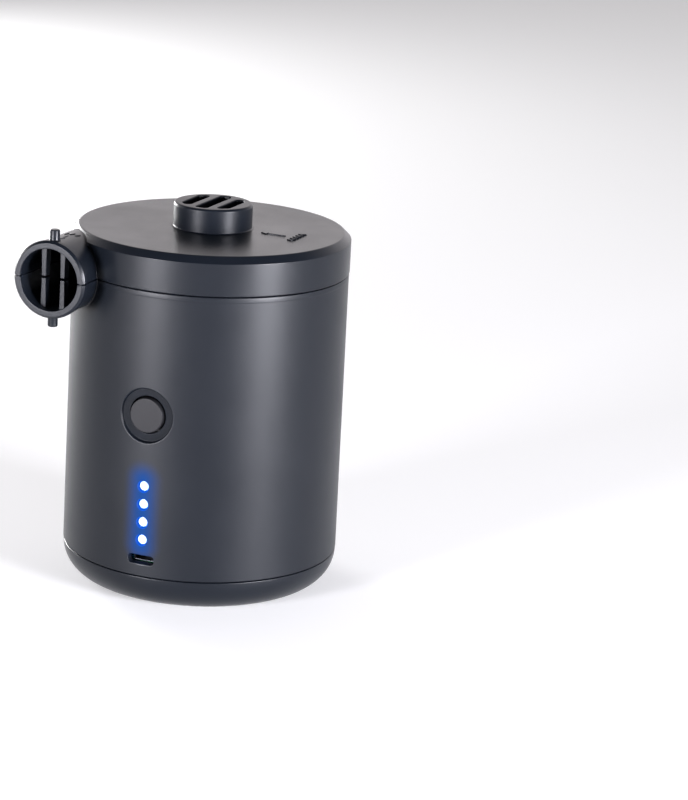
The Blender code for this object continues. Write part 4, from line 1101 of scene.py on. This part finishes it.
# -------- impeller
def make_impeller():
    """Back plate, hub and nine blades that lean back against the turn."""
    low, high = FAN_LOW.z, FAN_HIGH.z
    plate, hub_top, hole_r, hub_top_r, hub_r = 1.6, 13.0, 3.0, 5.0, 7.0
    plate_r = FAN_HIGH.x
    bm = bmesh.new()
    profile = rounded([
        (hole_r, low + hub_top, 0.2),
        (hub_top_r, low + hub_top, 0.6),
        (hub_r, low + plate, 2.5),
        (plate_r, low + plate, 0.4),
        (plate_r, low, 0.2),
        (hole_r, low, 0.2),
    ], 6)
    revolve(bm, profile, 144)
    blades, inner_r, outer_r, half_t, sweep, count = 9, 9.5, plate_r - 0.4, 0.6, -48.0, 16
    for blade in range(blades):
        rows = []
        for i in range(count + 1):
            part = i / count
            r = inner_r + (outer_r - inner_r) * part
            a = radians(360.0 * blade / blades + sweep * part)
            along = Vector((cos(a), sin(a), 0)) * (outer_r - inner_r)
            along += Vector((-sin(a), cos(a), 0)) * r * radians(sweep)
            across = Vector((along.y, -along.x, 0)).normalized()
            middle = Vector((r * cos(a), r * sin(a), 0))
            # The blades taper to a round top, and dip towards the hub
            top = high - 1.2 * (1 - part) ** 2
            section = [(-half_t, low + plate - 0.6), (-half_t, low + plate + 4)]
            section += [(-half_t * 0.8, top - 0.5)]
            section += [(half_t * 0.8 * sin(t), top - 0.5 + 0.5 * cos(t))
                        for t in (radians(-60 + 30 * k) for k in range(5))]
            section += [(-out, z) for out, z in section[2::-1]]
            rows.append([middle + across * out + Vector((0, 0, z)) for out, z in section])
        loft(bm, rows)
    finish(object_from(bm, "impeller_fan"), FAN_NYLON, "impeller", "rotor")


# -------- finishes of the inside parts
def circuit_board(name):
    """Solder mask over faint copper traces."""
    n = surface(name)
    lines = {"Vector": n.place, "Scale": 420.0, "Mortar Size": 0.09, "Mortar Smooth": 0.3}
    traces = n.add("ShaderNodeTexBrick", lines, offset=0.37, squash=1.8)
    cloud = n.noise(60.0)
    board = n.blend(cloud, (0.012, 0.12, 0.05), (0.02, 0.17, 0.075))
    n.set(Base_Color=n.blend(traces.outputs["Fac"], board, (0.035, 0.25, 0.11)), Roughness=0.35)
    n.bump(traces.outputs["Fac"], 0.00003)
    return n.owner


def shrink_wrap(name):
    """Thin film over a cell, slightly wavy."""
    n = surface(name)
    waves = n.noise(160.0, 3.0, 0.5, (1, 1, 0.35))
    n.set(Base_Color=n.blend(waves, (0.012, 0.14, 0.26), (0.025, 0.24, 0.42)), Roughness=0.28)
    n.bump(waves, 0.0001)
    return n.owner


def winding(name):
    """Enamelled wire laid side by side."""
    n = surface(name)
    turns = {"Vector": n.place, "Scale": 420.0, "Distortion": 0.6, "Detail": 1.0}
    wire = n.add("ShaderNodeTexWave", turns, wave_type="BANDS", bands_direction="Z")
    # Darker in the grooves between turns than on their crowns: painted shade
    n.set(Base_Color=n.blend(wire.outputs["Fac"], (0.3, 0.09, 0.03), (0.72, 0.3, 0.12)))
    n.set(Metallic=1.0, Roughness=0.3)
    n.bump(wire.outputs["Fac"], 0.0001)
    return n.owner


def foam(name):
    n = surface(name)
    cells = n.add("ShaderNodeTexVoronoi", {"Vector": n.place, "Scale": 1600.0})
    depth = cells.outputs["Distance"]
    # The pits of the cells are painted darker than their rims: painted shade
    n.set(Base_Color=n.blend(depth, (0.02, 0.02, 0.02), (0.07, 0.07, 0.07)), Roughness=0.95)
    n.bump(depth, 0.0002)
    return n.owner


def lit_blue(name):
    n = surface(name)
    n.set(Base_Color=(0.3, 0.6, 1.0, 1.0), Roughness=0.3, Emission_Color=(0.1, 0.35, 1.0, 1.0))
    n.set(Emission_Strength=n.ramp(n.noise(400.0), 1.6, 2.4, 0.3, 0.7))
    return n.owner


# Colour, roughness, grain and spread of colour of each moulded inside part
MOULDED = {
    "chip_black": ((0.012, 0.012, 0.013), 0.45, 0.00001),
    "magnet_grey": ((0.06, 0.06, 0.066), 0.6, 0.00005, 0.25),
    "carbon": ((0.02, 0.02, 0.02), 0.55, 0.00004, 0.3),
    "holder_abs": ((0.08, 0.08, 0.088), 0.5, 0.00003),
    "wire_red": ((0.5, 0.02, 0.02), 0.35, 0.00001, 0.15),
    "wire_black": ((0.015, 0.015, 0.016), 0.35, 0.00001),
}
# Colour, roughness, stretch and scale of the marks, spread of colour and bump of each metal
METALS = {
    "can_steel": ((0.55, 0.56, 0.58), 0.3, (1, 1, 0.1)),
    "screw_steel": ((0.2, 0.205, 0.215), 0.36, (1, 1, 1), 2400.0, 0.3),
    "shaft_steel": ((0.7, 0.7, 0.72), 0.18, (1, 1, 0.1), 1400.0),
    "nickel": ((0.66, 0.64, 0.58), 0.28, (0.15, 1, 1)),
    "bronze": ((0.55, 0.36, 0.16), 0.4, (1, 1, 1), 2600.0, 0.25, 0.00002),
}

# One finish for each material slot of the record
FINISHES = {
    "black_abs": BLACK_ABS,
    "button_abs": BUTTON_ABS,
    "clear_pc": LIGHT_GUIDE,
    "impeller_nylon": FAN_NYLON,
    "led_blue": lit_blue("led_blue"),
    "board_green": circuit_board("board_green"),
    "copper": winding("copper"),
    "cell_wrap": shrink_wrap("cell_wrap"),
    "foam": foam("foam"),
    **{name: moulded(name, *look).owner for name, look in MOULDED.items()},
    **{name: metal(name, *look) for name, look in METALS.items()},
}
# Far darker than bare steel: painted shade inside the charging socket
SOCKET_STEEL_PAINTED_SHADE = metal("socket_steel_painted_shade", (0.06, 0.062, 0.07), 0.42, (1, 0.1, 1))
for part in frame["record"]["subparts"]:
    frame["nodes"][part["node"]].material_slots[0].material = FINISHES[part["material_slot"]]

make_housing()
make_lid()
make_marks()
make_port()
make_nozzle(1)
make_nozzle(-1)
make_base()
make_button()
make_spring()
make_light_pipe()
make_usb_shell()
make_impeller()


# -------- floor, light, camera
CAMERA_AZIMUTH = 24.25
WORLD_BACK, WORLD_FRONT, WORLD_OVERHEAD = 1.5, 0.2, 0.15


def make_floor():
    """A large pale floor, just below the pump's underside.  It gives off a little light of
    its own, so that it stays pale far from the lights."""
    half, drop = 4.0, 0.0002
    bm = bmesh.new()
    bmesh.ops.create_grid(bm, x_segments=8, y_segments=8, size=half)
    bmesh.ops.translate(bm, vec=(0, 0, -drop), verts=bm.verts)
    mesh = bpy.data.meshes.new("floor")
    bm.to_mesh(mesh)
    bm.free()
    n = surface("pale_floor")
    cloud = n.noise(1.5, 3.0, 0.5)
    n.set(Base_Color=n.blend(cloud, (0.80, 0.80, 0.80), (0.84, 0.84, 0.84)))
    n.set(Roughness=0.7, Specular_IOR_Level=0.2)
    n.set(Emission_Color=(1.0, 1.0, 1.0, 1.0), Emission_Strength=0.25)
    mesh.materials.append(n.owner)
    placed("floor", mesh)


def make_world():
    """A soft studio: a bright backdrop low behind the pump, dim overhead and in front."""
    world = bpy.data.worlds.new("studio")
    n = Nodes(world, "Background", "Generated")

    def along(direction):
        inputs = {0: n.place, 1: direction}
        return n.add("ShaderNodeVectorMath", inputs, operation="DOT_PRODUCT").outputs["Value"]

    a = radians(CAMERA_AZIMUTH)
    behind, up = along((-sin(a), cos(a), 0)), along((0, 0, 1))
    backdrop = n.ramp(behind, WORLD_FRONT, WORLD_BACK, -0.2, 0.75, "SMOOTHSTEP")
    fade = n.ramp(up, 1.0, WORLD_OVERHEAD, 0.3, 0.75, "SMOOTHSTEP")
    n.set(Color=(1.0, 0.955, 0.985, 1.0), Strength=n.math("MULTIPLY", backdrop, fade))
    bpy.context.scene.world = world


def softbox(name, azimuth, distance, size, height, power, tint=(1.0, 1.0, 1.0)):
    """An area light that faces the pump.  Azimuth 0 is in front, and it grows to the right."""
    light = bpy.data.lights.new(name, "AREA")
    light.shape = "RECTANGLE"
    light.size, light.size_y = size
    light.energy = power
    light.color = tint
    obj = placed(name, light)
    a = radians(azimuth)
    obj.location = (distance * sin(a), -distance * cos(a), height)
    away = Vector(obj.location) - Vector((0, 0, 0.06))
    obj.rotation_euler = away.to_track_quat("Z", "Y").to_euler()
    obj.visible_camera = False


def make_lights():
    softbox("right_softbox", azimuth=71.5, distance=1.1, size=(0.36, 0.3), height=0.16,
            power=36.0, tint=(1.0, 1.0, 1.08))
    softbox("left_softbox", azimuth=-20.5, distance=1.1, size=(0.28, 0.3), height=0.16,
            power=22.0, tint=(1.0, 0.99, 1.06))
    softbox("edge_softbox", azimuth=-122.0, distance=1.2, size=(0.5, 0.3), height=0.14,
            power=21.0)


def make_camera():
    """Long lens, in front to the right and a little above."""
    azimuth, elevation, distance = radians(CAMERA_AZIMUTH), radians(15.32), 0.938
    target = Vector((0, 0, 0.0697))
    data = bpy.data.cameras.new("camera")
    data.sensor_width, data.lens = 36.0, 128.25
    back = Vector((
        sin(azimuth) * cos(elevation),
        -cos(azimuth) * cos(elevation),
        sin(elevation),
    ))
    camera = placed("camera", data)
    aim = back.to_track_quat("Z", "Y").to_matrix().to_4x4()
    # The pump stands left of the middle of the frame and leans slightly
    for angle, axis in ((-2.782, "Y"), (-0.513, "X"), (2.41, "Z")):
        aim = aim @ Matrix.Rotation(radians(angle), 4, axis)
    camera.matrix_world = Matrix.Translation(target + back * distance) @ aim
    bpy.context.scene.camera = camera


make_floor()
make_world()
make_lights()
make_camera()
bpy.context.scene.view_settings.view_transform = "Standard"
